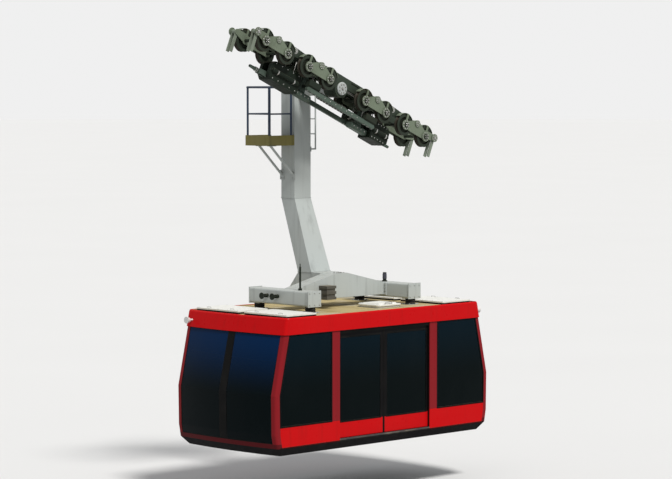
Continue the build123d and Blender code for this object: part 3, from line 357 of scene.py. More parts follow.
def glass(name, sky):
    """Dark tinted safety glass with a thin film of dust, and a painted sky reflection that turns bluer towards its
    top.
    """
    s = Surface(name, gloss=0.06)
    s.set("Alpha", 0.95)
    # The blue specular tint is a painted sky reflection: it turns the studio's white reflections blue.
    s.set("Specular Tint", (0.45, 0.75, 1.0, 1.0))
    film = s.remap(s.noise(1.6, 5.0, stretch=(1.0, 1.0, 0.4)), 0.45, 0.85, 0.0, 0.06)
    # A painted sky reflection: the panes turn towards the sky colour near their top.
    high = s.remap(s.axis("Z"), ROOF_Z - WINDOW_FOOT + 0.5, ROOF_Z - WINDOW_TOP)
    tone = s.mix(film, s.mix(high, DARK_TINT, sky), (0.03, 0.035, 0.035))
    s.finish(tone, s.math("ADD", film, 0.02))


def anti_slip(name, colour):
    """Sand-coloured gritty roof coat, stained, and worn pale where it is walked on."""
    s = Surface(name)
    grit = s.cells(210.0)
    worn = s.remap(s.noise(1.3, 6.0), 0.52, 0.66)
    stain = s.remap(s.noise(0.8, 4.0, stretch=(1.0, 1.6, 1.0)), 0.48, 0.72)
    tone = s.mix(stain, colour, STAIN)
    tone = s.mix(s.math("MULTIPLY", worn, 0.75), tone, WORN_SAND)
    tone = s.mix(s.remap(grit, 0.2, 0.6, 0.35, 0.0), tone, DIRT_AND_SHADE)
    # Corners, found by an occlusion mask, are darkened towards the dirt colour: dirt, and painted shade.
    tone = s.mix(s.math("MULTIPLY", s.remap(s.crevices(0.12), 0.15, 0.8), 0.7), tone, DIRT_AND_SHADE)
    s.finish(tone, 0.85, s.bump(grit, 0.5, 0.003))


def studded(name, colour):
    """Dark floor covering with round studs."""
    s = Surface(name, roughness=0.6)
    studs = s.remap(s.cells(38.0), 0.30, 0.22)
    tone = s.mix(s.remap(s.noise(3.0, 4.0), 0.4, 0.8, 0.0, 0.4), colour, DUST)
    s.finish(tone, None, s.bump(studs, 0.6, 0.003))


def brushed(name, colour=(0.55, 0.55, 0.54), rough=0.3):
    """Brushed aluminium or stainless steel."""
    s = Surface(name, metallic=1.0)
    lines = s.noise(60.0, 3.0, stretch=(1.0, 1.0, 14.0))
    tone = s.mix(s.remap(lines, 0.3, 0.7, 0.0, 0.25), colour, (0.25, 0.25, 0.25))
    s.finish(tone, s.remap(lines, 0.2, 0.8, rough - 0.08, rough + 0.12), s.bump(lines, 0.08, 0.001))


def plastic(name, colour, rough=0.45):
    """Moulded plastic with a fine leather grain."""
    s = Surface(name)
    grain = s.cells(320.0)
    tone = s.mix(s.remap(s.noise(4.0, 4.0), 0.4, 0.8, 0.0, 0.25), colour, darker(colour, 0.6))
    s.finish(tone, s.remap(grain, 0.1, 0.6, rough, rough + 0.12), s.bump(grain, 0.12, 0.001))


def lens(name, colour):
    """A clear or coloured lamp lens with ribs."""
    s = Surface(name, roughness=0.08)
    s.set("Coat Weight", 0.6)
    ribs = s.noise(40.0, 1.0, stretch=(1.0, 6.0, 1.0))
    tone = s.mix(s.remap(ribs, 0.4, 0.6, 0.0, 0.3), colour, darker(colour, 0.5))
    s.finish(tone, None, s.bump(ribs, 0.3, 0.002))


SPLIT = ROOF_Z - WINDOW_FOOT
RED_FINISH = {"rough": 0.30, "wear": 0.1, "grime": 0.2, "dust": 0.06, "haze": 0.012, "gloss": 0.05,
              "peel": 0.04}
NODE_LOOKS = {"side_wall_near": "wall_red", "side_wall_far": "wall_red", "end_frames": "end_red",
              "end_glass": "end_tint", "main_beam": "beam_zinc", "rockers": "beam_zinc",
              "haul_rope_anchors": "tow_zinc", "brake_bars": "tow_zinc", "spring_packs": "pack_grey"}


def make_looks():
    """Every finish, under the name by which nodes and pieces ask for it."""
    painted("cabin_red", RED, **RED_FINISH)
    painted("wall_red", RED, second=WINE, split=SPLIT, lined="Y", **RED_FINISH)
    # The end frames under the end windows carry painted shade: a darker red where they tuck under.
    painted("end_red", SILL_WINE_PAINTED_SHADE, second=WINE, split=ROOF_Z - END_WINDOW_FOOT, lined="X", **RED_FINISH)
    painted("door_paint", RED, second=BLACK, split=SPLIT - 0.04, lined="Y", **RED_FINISH)
    painted("hanger_paint", GREY_PAINT, under=RUST, rough=0.45, grime=0.45, dust=0.2, haze=0.1)
    painted("platform_paint", OLIVE, under=RUST, rough=0.55, wear=0.7, grime=0.6)
    painted("rail_paint", NAVY, under=STEEL, rough=0.45, grime=0.3, dust=0.1, haze=0.1)
    painted("roof_white", CREAM, rough=0.5, wear=0.2, grime=0.25, dust=0.04, haze=0.06)
    painted("underframe_black", BLACK, rough=0.6, wear=0.2, grime=0.15, dust=0.1, haze=0.02, gloss=0.06)
    painted("dark_housing", (0.010, 0.016, 0.011), under=STEEL, rough=0.5, dust=0.1, haze=0.04, gloss=0.1)
    painted("brake_steel", (0.018, 0.025, 0.018), under=RUST, rough=0.6, wear=0.8, dust=0.1, haze=0.08,
            gloss=0.1)
    galvanised("carriage_zinc", ZINC)
    galvanised("guard_zinc", PALE_ZINC, grime=0.4)
    galvanised("wheel_steel", (0.034, 0.044, 0.032), grime=0.9)
    # Galvanised zinc for the main beam and rockers, darkened as painted shade for their place under and between
    # the wheels.
    galvanised("beam_zinc", (0.046, 0.062, 0.045))
    galvanised("tow_zinc", (0.095, 0.130, 0.105))
    machined("machined_steel")
    rubber("rubber_black")
    # The second colour of each glass is a painted sky reflection towards the top of the panes.
    glass("tinted_glass", (0.001, 0.007, 0.012))
    glass("end_tint", (0.001, 0.018, 0.070))
    rubber("black_trim", (0.003, 0.003, 0.003), rough=0.5, gloss=0.06)
    anti_slip("roof_grit", SAND)
    studded("floor_rubber", (0.03, 0.03, 0.032))
    plastic("lining", LINING)
    plastic("desk_plastic", (0.05, 0.055, 0.06))
    plastic("lamp_white", (0.70, 0.70, 0.68), rough=0.3)
    brushed("alu_track", (0.16, 0.16, 0.16))
    brushed("pole_steel", rough=0.22)
    lens("lens_clear", (0.60, 0.62, 0.64))
    lens("lens_red", (0.45, 0.01, 0.01))
    lens("lens_dark", (0.012, 0.014, 0.030))
    rubber("pack_grey", (0.10, 0.095, 0.08))
    rubber("wheel_lining", (0.024, 0.020, 0.013), rough=0.55)


def dress_nodes():
    """Give every solid of the frame its own finish."""
    for entry in RECORD["subparts"]:
        node = frame["nodes"][entry["node"]]
        look = LOOKS[NODE_LOOKS.get(entry["node"], entry["material_slot"])]
        for slot in node.material_slots:
            slot.material = look


def row(first, last, count):
    """Evenly spaced places from the first to the last."""
    return [first + (last - first) * i / (count - 1) for i in range(count)]


def circle(centre, axis, radius, count):
    """Points round an axis."""
    along = Vector(axis).normalized()
    across = along.orthogonal().normalized()
    other = along.cross(across)
    turns = [2 * math.pi * i / count for i in range(count)]
    return [Vector(centre) + (across * math.cos(turn) + other * math.sin(turn)) * radius for turn in turns]


def rectangle(x0, y0, x1, y1, z):
    """The corners of a level rectangle."""
    return [(x0, y0, z), (x1, y0, z), (x1, y1, z), (x0, y1, z)]


def bent(points, radius):
    """Round off the corners of a route with short arcs."""
    steps = 4
    path = [Vector(point) for point in points]
    route = [path[0]]
    for before, corner, after in zip(path, path[1:], path[2:]):
        into = (before - corner).normalized() * radius
        out = (after - corner).normalized() * radius
        for t in row(0.0, 1.0, steps + 1):
            route.append(corner + into * (1 - t) ** 2 + out * t ** 2)
    return route + [path[-1]]


class Piece:
    """A mesh built up from small solids, then named, dressed and put on a body."""

    def __init__(self):
        self.mesh = bmesh.new()

    def faces(self, points, polygons):
        corners = [self.mesh.verts.new(point) for point in points]
        for polygon in polygons:
            self.mesh.faces.new([corners[i] for i in polygon])

    def rings(self, rings, loop=False):
        """Skin over rings of as many points each, closed by end faces, or in a loop by itself."""
        count = len(rings[0])
        polygons = []
        for r in range(len(rings) if loop else len(rings) - 1):
            a, b = r * count, (r + 1) % len(rings) * count
            polygons += [(a + i, a + (i + 1) % count, b + (i + 1) % count, b + i) for i in range(count)]
        if not loop:
            last = (len(rings) - 1) * count
            polygons += [range(count - 1, -1, -1), range(last, last + count)]
        self.faces([point for ring in rings for point in ring], polygons)

    def box(self, low, high, edge=0.0):
        """A box between two corners, its upright edges cut by the edge size."""
        (x0, y0, z0), (x1, y1, z1) = low, high
        e = edge
        plan = [(x0, y0), (x1, y0), (x1, y1), (x0, y1)]
        if e:
            plan = [(x0 + e, y0), (x1 - e, y0), (x1, y0 + e), (x1, y1 - e), (x1 - e, y1), (x0 + e, y1),
                    (x0, y1 - e), (x0, y0 + e)]
        self.rings([[(x, y, z) for x, y in plan] for z in (z0, z1)])

    def lathe(self, centre, axis, profile, sides=24):
        """Turn a profile of (radius, distance along the axis) pairs."""
        along = Vector(axis).normalized()
        self.rings([circle(Vector(centre) + along * distance, axis, radius, sides)
                    for radius, distance in profile])

    def disc(self, centre, axis, radius, height, sides=24, chamfer=0.0):
        """A round boss with a chamfered rim."""
        profile = [(radius, 0.0), (radius, height - chamfer)]
        if chamfer:
            profile.append((radius - chamfer, height))
        self.lathe(centre, axis, profile, sides)

    def band(self, centre, inner, outer, width, shoulder=0.002):
        """A ring with sloped shoulders, round a bar that lies along X."""
        profile = [(inner, 0), (outer, shoulder), (outer, width - shoulder), (inner, width)]
        self.lathe(Vector(centre) - Vector((width / 2, 0, 0)), (1, 0, 0), profile)

    def bolt(self, centre, axis, size):
        """A hexagon head on a washer; size is across the corners."""
        washer, head = size * 0.12, size * 0.36
        self.disc(centre, axis, size * 0.72, washer, sides=12)
        base = Vector(centre) + Vector(axis).normalized() * washer
        self.lathe(base, axis, [(size / 2, 0.0), (size / 2, head * 0.8), (size * 0.40, head)], sides=6)

    def bolts(self, centre, axis, radius, count, size):
        """Bolts on a circle round an axis."""
        for spot in circle(centre, axis, radius, count):
            self.bolt(spot, axis, size)

    def tube(self, points, radius, sides=10):
        """A round bar along straight runs with mitred corners."""
        path = [Vector(point) for point in points]
        runs = [(after - before).normalized() for before, after in zip(path, path[1:])]
        across = runs[0].orthogonal().normalized()
        rings = []
        for point, into, out in zip(path, runs[:1] + runs, runs + runs[-1:]):
            tangent = (into + out).normalized()
            across = (across - tangent * across.dot(tangent)).normalized()
            other = tangent.cross(across)
            spread = 1.0 / max(math.cos(into.angle(out, 0.0) / 2), 0.5)
            bend = (out - into).normalized() if spread > 1.001 else None
            ring = []
            for k in range(sides):
                angle = 2 * math.pi * k / sides
                offset = (across * math.cos(angle) + other * math.sin(angle)) * radius
                if bend:
                    offset = offset + bend * offset.dot(bend) * (spread - 1.0)
                ring.append(point + offset)
            rings.append(ring)
        self.rings(rings)

    def grip(self, first, last, out, radius, bend, sides=8):
        """A bar on two feet that stands out from them and runs across."""
        first, last, out = Vector(first), Vector(last), Vector(out)
        self.tube(bent([first, first + out, last + out, last], bend), radius, sides)

    def rim(self, loop, normal, inside, outside, low, high):
        """A mitred strip along a closed loop: widths each way in its plane, heights along the normal."""
        up = Vector(normal).normalized()
        corners = [Vector(corner) for corner in loop]
        centre = sum(corners, Vector()) / len(corners)
        section = ((-inside, low), (outside, low), (outside, high), (-inside, high))
        rings = []
        for before, corner, after in zip(corners[-1:] + corners[:-1], corners, corners[1:] + corners[:1]):
            a = (corner - before).cross(up).normalized()
            b = (after - corner).cross(up).normalized()
            mitre = (a + b) / (1.0 + a.dot(b))
            if mitre.dot(corner - centre) < 0:
                mitre = -mitre
            rings.append([corner + mitre * w + up * h for w, h in section])
        self.rings(rings, loop=True)

    def plate(self, low, high, face, size=0.020, inset=0.03, many=(2, 2)):
        """A box with rows of bolts on one of its faces: face is an axis letter with its sign."""
        self.box(low, high)
        axis = "xyz".index(face[1])
        sign = 1 if face[0] == "+" else -1
        out, spot = [0, 0, 0], [0, 0, 0]
        out[axis] = sign
        spot[axis] = sign * max(sign * low[axis], sign * high[axis])
        u, v = [i for i in range(3) if i != axis]
        across, along = [row(min(low[i], high[i]) + inset, max(low[i], high[i]) - inset, count)
                         for i, count in zip((u, v), many)]
        for spot[u] in across:
            for spot[v] in along:
                self.bolt(spot, out, size)

    def as_object(self, name, look):
        """The mesh as an object of the scene, with its finish."""
        data = bpy.data.meshes.new(name)
        self.mesh.to_mesh(data)
        self.mesh.free()
        data.materials.append(LOOKS[look])
        item = bpy.data.objects.new(name, data)
        bpy.context.scene.collection.objects.link(item)
        return item

    def done(self, name, look, body, place=None):
        """Close the piece: transform, shade, dress and attach it."""
        if place:
            bmesh.ops.transform(self.mesh, matrix=place, verts=self.mesh.verts)
        bmesh.ops.recalc_face_normals(self.mesh, faces=self.mesh.faces)
        for face in self.mesh.faces:
            face.smooth = True
        for edge in self.mesh.edges:
            edge.smooth = edge.calc_face_angle(0.0) < SHARP
        made = self.as_object(name, look)
        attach(made, body)


def half_length(down, inset=BAND_T):
    """The cabin's half length at its corners, at a level under the roof."""
    for (d0, in0), (d1, in1) in zip(CABIN_LEVELS, CABIN_LEVELS[1:]):
        if down <= d1:
            break
    share = (down - d0) / (d1 - d0)
    return CABIN_HALF - in0 - (in1 - in0) * share - inset


def pane_point(end, y, down):
    """A point on the bowed glass of an end, at a level under the roof."""
    bow = END_BOW * (1 - (y / (BAND_Y - GLASS_INSET)) ** 2)
    return Vector((PIN.x + end * (half_length(down, GLASS_INSET) + bow), y, ROOF_Z - down))


def wheel_finish():
    """Dark linings in the grooves, hub bolts and cap screws, on every wheel pair."""
    tread_r, groove, rim, hub, sides = 0.176, 0.019, 0.0365, 0.0445, 48
    # One half of the lining's section: radius over the tread, distance from the wheel's middle plane
    face = [(0.020, rim), (0.006, groove), (0.001, groove * 0.4)]
    back = [(-0.001, groove * 0.8), (0.014, rim)]
    section = [(r, -w) for r, w in face] + face[::-1] + back[::-1] + [(r, -w) for r, w in back]
    nipple = [(0.008, 0), (0.008, 0.006), (0.004, 0.010), (0.004, 0.016)]
    for name, joint in JOINTS.items():
        if not name.startswith("wheel_turn"):
            continue
        centre = Vector(joint["pos_m"])
        tag = name.replace("wheel_turn_", "")
        lining, screws = Piece(), Piece()
        for side in SIDES:
            middle = centre + Vector((0, side * ROPE_Y, 0))
            cap = centre + Vector((0, side * CAP_Y, 0))
            rings = []
            for i in range(sides):
                angle = 2 * math.pi * i / sides
                turn = Vector((math.cos(angle), 0.0, math.sin(angle)))
                rings.append([middle + turn * (tread_r + r) + Vector((0, w, 0)) for r, w in section])
            lining.rings(rings, loop=True)
            screws.bolts(cap, (0, side, 0), CAP_R * 0.62, 4, 0.016)
            screws.lathe(cap, (0, side, 0), nipple, 8)
            for out in SIDES:
                screws.bolts(middle + Vector((0, out * hub, 0)), (0, out, 0), 0.046, 6, 0.012)
        lining.done(f"wheel_lining_{tag}", "wheel_lining", f"wheel_pair_{tag}_body")
        screws.done(f"axle_screws_{tag}", "machined_steel", f"wheel_pair_{tag}_body")


def carriage_bolts():
    """Bolts on the bearings, the pins' flanges, the main pin, the hydraulic units and the bars."""
    bolts = Piece()
    tow_y, bar_y, fork_half = 0.075, ROPE_Y + 0.028, 0.11
    # Flanges: along the rope, height, face, radius of the bolt circle, bolts, their size
    flanges = [(s, AXLE_H, BEARING_Y, 0.072, 8, 0.020) for s in AXLES]
    flanges += [(s, BOGIE_PIN_H, BEARING_Y, 0.028, 4, 0.018) for s in BOGIES]
    flanges += [(s, BOGIE_PIN_H, BEARING_Y - 0.002, 0.053, 8, 0.014) for s in BOGIES]
    flanges += [(*HORN, BEARING_Y, 0.054, 6, 0.018), (*ROCKER_PIN, ROCKER_Y, 0.036, 6, 0.016)]
    for sign, side in CORNERS:
        out = (0, side, 0)
        for s, height, face_y, radius, count, size in flanges:
            bolts.bolts((sign * s, side * face_y, height), out, radius, count, size)
        bolts.bolt((sign * HORN[0], side * BEARING_Y, HORN[1]), out, 0.046)
        s0, s1 = UNITS[sign]
        for s in row(s0 + 0.06, s1 - 0.10, 5):
            for height in (0.004, -0.275):
                bolts.bolt((sign * s, side * UNIT_Y, height), out, 0.016)
        for s in row(BOGIES[0] - fork_half, BOGIES[0] + fork_half, 3):
            for lane in SIDES:
                bolts.bolt((sign * s, side * ROPE_Y + lane * 0.016, BAR_LOW), DOWN, 0.018)
        for s in row(0.645, 0.936, 4):
            bolts.bolt((sign * s, side * tow_y, HAUL_H), out, 0.020)
    for side in SIDES:
        for s in row(-0.45, 0.45, 7):
            bolts.bolt((s, side * bar_y, BAR_H), (0, side, 0), 0.016)
    collar_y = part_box("hanger_arm")[0][1]
    bolts.bolts((0, collar_y, PIN_H), (0, -1, 0), 0.080, 8, 0.030)
    bolts.bolt((0, collar_y, PIN_H), (0, -1, 0), 0.050)
    bolts.done("carriage_bolts", "machined_steel", CARRIAGE, ROPES)


def carriage_pipes():
    """Fixed hydraulic pipes between the units and to the brake jaws, with their clips."""
    pipes, clips = Piece(), Piece()
    unit_s, unit_h, run_y, run_h = 1.22, 0.025, 0.130, 0.245
    jaw_s, jaw_y, jaw_h, drop_h = 0.70, 0.215, -0.085, -0.04
    for side in SIDES:
        y = side * run_y
        for lane in range(2):
            z = run_h - lane * 0.022
            pipes.grip((unit_s, y, unit_h), (-unit_s, y, unit_h), (0, 0, z - unit_h), 0.007, 0.05)
            for sign in SIDES:
                s = sign * (jaw_s + 0.03 * lane)
                pipes.tube(bent([(s, y, z), (s, y, drop_h), (s, side * jaw_y, jaw_h)], 0.03), 0.006, 8)
        for s in row(-0.95, 0.94, 8):
            clips.box((s - 0.012, y - 0.016, run_h - 0.031), (s + 0.012, y + 0.016, run_h + 0.019))
    pipes.done("brake_pipes", "machined_steel", CARRIAGE, ROPES)
    clips.done("pipe_clips", "dark_housing", CARRIAGE, ROPES)


def carriage_fittings():
    """Bands on the brake spring, straps on the tanks, rings on the rope sockets, and filler caps."""
    bands, dark = Piece(), Piece()
    for s in row(-0.32, 0.32, 9):
        bands.band((s, 0, SPRING_H), 0.064, 0.0685, 0.016, 0.003)
    for end in SIDES:
        bands.disc((end * 0.35, 0, SPRING_H), (end, 0, 0), 0.052, 0.020, chamfer=0.005)
        bands.disc((end * 0.37, 0, SPRING_H), (end, 0, 0), 0.034, 0.030, sides=6)
    tow_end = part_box("haul_rope_anchors")
    for sign in SIDES:
        s0, s1 = UNITS[sign]
        filler, lid = sign * (s0 + 0.12), sign * (s0 + 0.24)
        for side in SIDES:
            y, z = side * TANK[0], TANK[1]
            for share in (0.22, 0.78):
                bands.band((sign * (s0 + (s1 - s0) * share), y, z), 0.046, 0.0505, 0.028)
            dark.disc((sign * (s1 - 0.04), y, z), (sign, 0, 0), 0.018, 0.028, sides=12, chamfer=0.003)
            dark.disc((sign * (s0 + 0.04), y, z), (-sign, 0, 0), 0.014, 0.016, sides=12)
        dark.disc((filler, 0, UNIT_TOP), UP, 0.034, 0.028, sides=16, chamfer=0.004)
        dark.box((lid - 0.05, -0.05, UNIT_TOP), (lid + 0.05, 0.05, UNIT_TOP + 0.055), 0.008)
        reach = (tow_end[1][0] if sign > 0 else -tow_end[0][0]) / math.cos(SLOPE)
        for back in (0.30, 0.26):
            bands.band((sign * (reach - back), 0, HAUL_H), 0.030, 0.044, 0.012)
    bands.done("spring_and_tank_bands", "machined_steel", CARRIAGE, ROPES)
    dark.done("unit_caps", "dark_housing", CARRIAGE, ROPES)


def hanger_flanges(bolts, seams):
    """The main pin's flange, weld seams at the knee and the foot, and the hanger's bolts."""
    flange_r, flange_t, cap_t = 0.20, 0.018, 0.028
    bolts.bolts((PIN.x, COLUMN_LOW - flange_t, PIN.z), (0, -1, 0), 0.175, 12, 0.030)
    profile = [(flange_r, 0), (flange_r, flange_t), (0.13, flange_t)]
    seams.lathe((PIN.x, COLUMN_LOW, PIN.z), (0, -1, 0), profile, 32)
    bolts.bolts((PIN.x, COLUMN_HIGH + cap_t, PIN.z), (0, 1, 0), 0.125, 10, 0.024)
    for z, y, half_x in ((KNEE_Z, COLUMN_Y, COLUMN_X), (FOOT_Z, FOOT_Y, FOOT_X)):
        loop = rectangle(PIN.x - half_x, y - COLUMN_D, PIN.x + half_x, y + COLUMN_D, z)
        seams.rim(loop, UP, 0.004, 0.006, -0.008, 0.008)
    for a, b in CORNERS:
        bolts.bolt((PIN.x + a * 0.17, COLUMN_Y + b * 0.135, HEAD_Z), UP, 0.024)
    fall = (FOOT_Z - ROOF_Z - 0.25) / 0.28
    for a in SIDES:
        for y in row(0.78, 0.96, 3):
            bolts.bolt((PIN.x + a * 0.20, y, FOOT_Z - (y - 0.72) * fall), (0, 0.85, 0.56), 0.030)
        for y in row(0.21, 0.63, 4):
            bolts.bolt((PIN.x + a * FOOT_X, y, ROOF_Z + 0.19), (a, 0, 0), 0.030)
        for x in (0.02, 0.09):
            for y in (-0.12, -0.05):
                bolts.bolt((PIN.x + a * x, y, SPINE_TOP_Z), UP, 0.028)


def cable_run(seams):
    """Two conduits down the hanger's far face to a box on the roof, with their clips."""
    conduit = Piece()
    column_y, leg_y, deck_y, end_y = COLUMN_HIGH + 0.016, 0.752, 1.018, 1.10
    low_z, half = DECK_Z + 0.05, 0.024
    for lane in range(2):
        x = PIN.x - 0.05 - 0.05 * lane
        route = [(x, column_y, 0.02), (x, column_y, KNEE_Z), (x, leg_y, FOOT_Z),
                 (x, deck_y, ROOF_Z + 0.26), (x, deck_y, low_z), (x, end_y, low_z)]
        conduit.tube(bent(route, 0.03), 0.011)
        for z in row(-0.15, -1.65, 4):
            seams.box((x - half, column_y - 0.017, z - 0.012), (x + half, column_y + 0.016, z + 0.012))
        for share in (0.2, 0.5, 0.8):
            y, z = column_y + (leg_y - column_y) * share, KNEE_Z + (FOOT_Z - KNEE_Z) * share
            seams.box((x - half, y - 0.022, z - 0.014), (x + half, y + 0.018, z + 0.014))
    seams.plate((PIN.x - 0.20, 1.06, DECK_Z), (PIN.x + 0.02, 1.20, DECK_Z + 0.12), "+z", 0.014, 0.02)
    conduit.done("conduits", "guard_zinc", CABIN)


def platform_fixings(bolts, seams):
    """The platform's slats, post feet and brace feet, and the ladder's brackets."""
    (x0, y0, z0), (x1, y1, z1) = TRAY
    column, ladder = PIN.x - COLUMN_X, PIN.x + COLUMN_X
    for x in row(x0, x1, 9)[1:-1]:
        seams.box((x - 0.006, y0 + 0.012, TRAY_FLOOR), (x + 0.006, y1 - 0.012, TRAY_FLOOR + 0.004))
    for x, back in ((x0 + 0.030, 0.018), (column - 0.060, 0.04)):
        for y in (y0 + 0.030, y1 - 0.030):
            low, high = (x - back, y - 0.018, TRAY_FLOOR), (x + 0.04, y + 0.018, TRAY_FLOOR + 0.008)
            seams.plate(low, high, "+z", 0.012, 0.010)
    for y in BRACKETS:
        seams.plate((column - 0.012, y - 0.05, z0 - 0.64), (column, y + 0.05, z0 - 0.46), "-x")
        seams.box((x0 + 0.02, y - 0.05, z0 - 0.008), (x0 + 0.16, y + 0.05, z0))
        for z in (LADDER[0][2] + 0.015, LADDER[1][2] - 0.015):
            low, high = (ladder, y - 0.04, z - 0.045), (ladder + 0.008, y + 0.04, z + 0.045)
            seams.plate(low, high, "+x", 0.014, 0.014)
    for z in (z0 + 0.06, z1 - 0.035):
        for y in (y0 + 0.030, y1 - 0.300):
            bolts.bolt((column - 0.02, y, z), (-1, 0, 0), 0.022)


def hanger_fittings():
    """Bolts, seams and cables of the hanger, and what fixes the platform and the ladder to it."""
    bolts, seams = Piece(), Piece()
    hanger_flanges(bolts, seams)
    cable_run(seams)
    platform_fixings(bolts, seams)
    bolts.done("hanger_bolts", "machined_steel", CABIN)
    seams.done("hanger_seams", "hanger_paint", CABIN)


def beam_end(plates, end, side):
    """A cross beam's end flange, and the plates over and under its rubber spring."""
    x0, x1 = sorted((PIN.x + end * BEAM_X0, PIN.x + end * BEAM_X1))
    low = (x0 - 0.012, side * (BEAM_HALF - 0.012), BEAM_FOOT_Z - 0.012)
    high = (x1 + 0.012, side * (BEAM_HALF + 0.002), BEAM_TOP_Z + 0.010)
    plates.plate(low, high, "+y" if side > 0 else "-y", 0.024, 0.040, (3, 2))
    x, y, half_y = PIN.x + end * SPRING_X, side * SPRING_Y, 0.105
    low, high = (x - 0.13, y - half_y, DECK_Z), (x + 0.13, y + half_y, DECK_Z + 0.010)
    plates.plate(low, high, "+z", 0.022, 0.022)
    plates.box((x - 0.11, y - half_y, BEAM_FOOT_Z - 0.012), (x + 0.11, y + half_y, BEAM_FOOT_Z + 0.01))


def panel_trim(shadow_skirts, screws, end, side):
    """A roof panel's black skirt, a painted shadow in the gap under its edge, its screws and two handles."""
    x0, x1 = sorted((PIN.x + end * PANEL_X0, PIN.x + end * PANEL_X1))
    y0, y1 = sorted((side * PANEL_Y0, side * PANEL_Y1))
    # A black skirt set in under the raised panel's edge: a painted shadow in the gap over the deck.
    shadow_skirts.rim(rectangle(x0, y0, x1, y1, PANEL_Z), UP, 0.024, -0.012, -0.056, -0.026)
    for x in (x0 + 0.03, x1 - 0.03):
        for y in row(y0 + 0.05, y1 - 0.05, 5):
            screws.disc((x, y, PANEL_Z), UP, 0.010, 0.003, 12, 0.001)
    x = (x1 if end > 0 else x0) - end * 0.09
    for y in (y0 + 0.25, y1 - 0.25):
        screws.grip((x, y - 0.05, PANEL_Z), (x, y + 0.05, PANEL_Z), (0, 0, 0.018), 0.004, 0.01)


def hatch_trim(plates, screws):
    """The roof hatch's hinges and handle."""
    low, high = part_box("roof_hatch")
    hinge_y, hinge_z = high[1] + 0.012, DECK_Z + 0.060
    for x in (low[0] + 0.14, high[0] - 0.14):
        plates.box((x - 0.04, high[1] - 0.03, DECK_Z), (x + 0.04, high[1] + 0.03, DECK_Z + 0.066))
        plates.tube([(x - 0.045, hinge_y, hinge_z), (x + 0.045, hinge_y, hinge_z)], 0.010)
    middle, y, z = (low[0] + high[0]) / 2, low[1] + 0.06, DECK_Z + 0.058
    screws.grip((middle - 0.09, y, z), (middle + 0.09, y, z), (0, 0, 0.037), 0.007, 0.02)


def roof_finish():
    """Flanges of the roof frame, panel and hatch trim, the antenna's sleeve and the deck's seams."""
    plates, shadow_skirts, screws, strips, mast = Piece(), Piece(), Piece(), Piece(), Piece()
    for end, side in CORNERS:
        beam_end(plates, end, side)
        panel_trim(shadow_skirts, screws, end, side)
    for end in SIDES:
        x, y = PIN.x + end * BEAM_X0, SPINE_Y + 0.05
        low, high = (x, -y, ROOF_Z + 0.13), (x - end * 0.022, y, BEAM_TOP_Z - 0.01)
        plates.plate(low, high, "-x" if end > 0 else "+x", 0.026, 0.028, (2, 4))
    hatch_trim(plates, screws)
    for x in row(PIN.x - 0.80, PIN.x + 0.80, 3):
        strips.box((x - 0.02, -1.26, DECK_Z), (x + 0.02, 1.26, DECK_Z + 0.003))
    half = half_length(0.02)
    for side in SIDES:
        low, high = (PIN.x - half, side * 1.255, DECK_Z), (PIN.x + half, side * 1.279, DECK_Z + 0.012)
        strips.box(low, high)
    sleeve = [(0.034, 0), (0.034, 0.012), (0.018, 0.030), (0.018, 0.42), (0.009, 0.43)]
    mast.lathe((PIN.x - SPRING_X, -0.40, BEAM_TOP_Z), UP, sleeve, 16)
    plates.done("frame_flanges", "hanger_paint", CABIN)
    # The black skirts under the panels' edges are a painted shadow.
    shadow_skirts.done("panel_gaskets", "black_trim", CABIN)
    mast.done("antenna_mast", "dark_housing", CABIN)
    screws.done("roof_handles", "machined_steel", CABIN)
    strips.done("deck_strips", "roof_grit", CABIN)


def side_window(end, side):
    """The corners of an end bay's side window."""
    outer = [(half_length(down) - PILLAR_SIDE, down) for down in (WINDOW_TOP, WAIST, WINDOW_FOOT)]
    corners = [(POST_OUT, WINDOW_TOP)] + outer + [(POST_OUT, WINDOW_FOOT)]
    return [(PIN.x + end * x, side * GLASS_Y, ROOF_Z - down) for x, down in corners]


def end_window(end, side):
    """The corners of one of the two panes in a bowed end."""
    across = row(MULLION_HALF, END_PANE_HALF, 7)
    points = [(y, WINDOW_TOP) for y in across] + [(END_PANE_HALF, WAIST), (END_PANE_HALF, TUCK)]
    points += [(y, END_WINDOW_FOOT) for y in reversed(across)]
    points += [(MULLION_HALF, TUCK), (MULLION_HALF, WAIST)]
    return [pane_point(end, side * y, down) for y, down in points]


def cabin_seals():
    """Black gaskets round the panes, seals over the doors and along the sill, and threshold treads."""
    seals, treads = Piece(), Piece()
    for end, side in CORNERS:
        seals.rim(side_window(end, side), (0, side, 0), 0.018, 0.008, -0.001, WALL_Y - GLASS_Y + 0.003)
        seals.rim(end_window(end, side), (end, 0, 0), 0.018, 0.004, -0.003, 0.0038)
    x0, x1, head = PIN.x - DOOR_HALF, PIN.x + DOOR_HALF, BAND_FOOT - 0.060
    sill = half_length(2.27) - 0.06
    for side in SIDES:
        seals.box((x0, side * SEAL_Y, head), (x1, side * SEAL_OUT_Y, BAND_FOOT))
        for x, edge in ((x0, -1), (x1, 1)):
            seals.box((x - edge * 0.006, side * 1.236, FLOOR_Z),
                      (x + edge * 0.001, side * SEAL_OUT_Y, head))
        for y in row(side * SEAL_Y, side * (SEAL_Y + 0.033), 4):
            treads.box((x0, y - 0.003, FLOOR_Z), (x1, y + 0.003, FLOOR_Z + 0.003))
        seals.box((PIN.x - sill, side * (WALL_Y - 0.002), SILL_Z + 0.004),
                  (PIN.x + sill, side * (WALL_Y + 0.006), SILL_Z + 0.016))
    seals.done("cabin_gaskets", "black_trim", CABIN)
    treads.done("threshold_treads", "alu_track", CABIN)


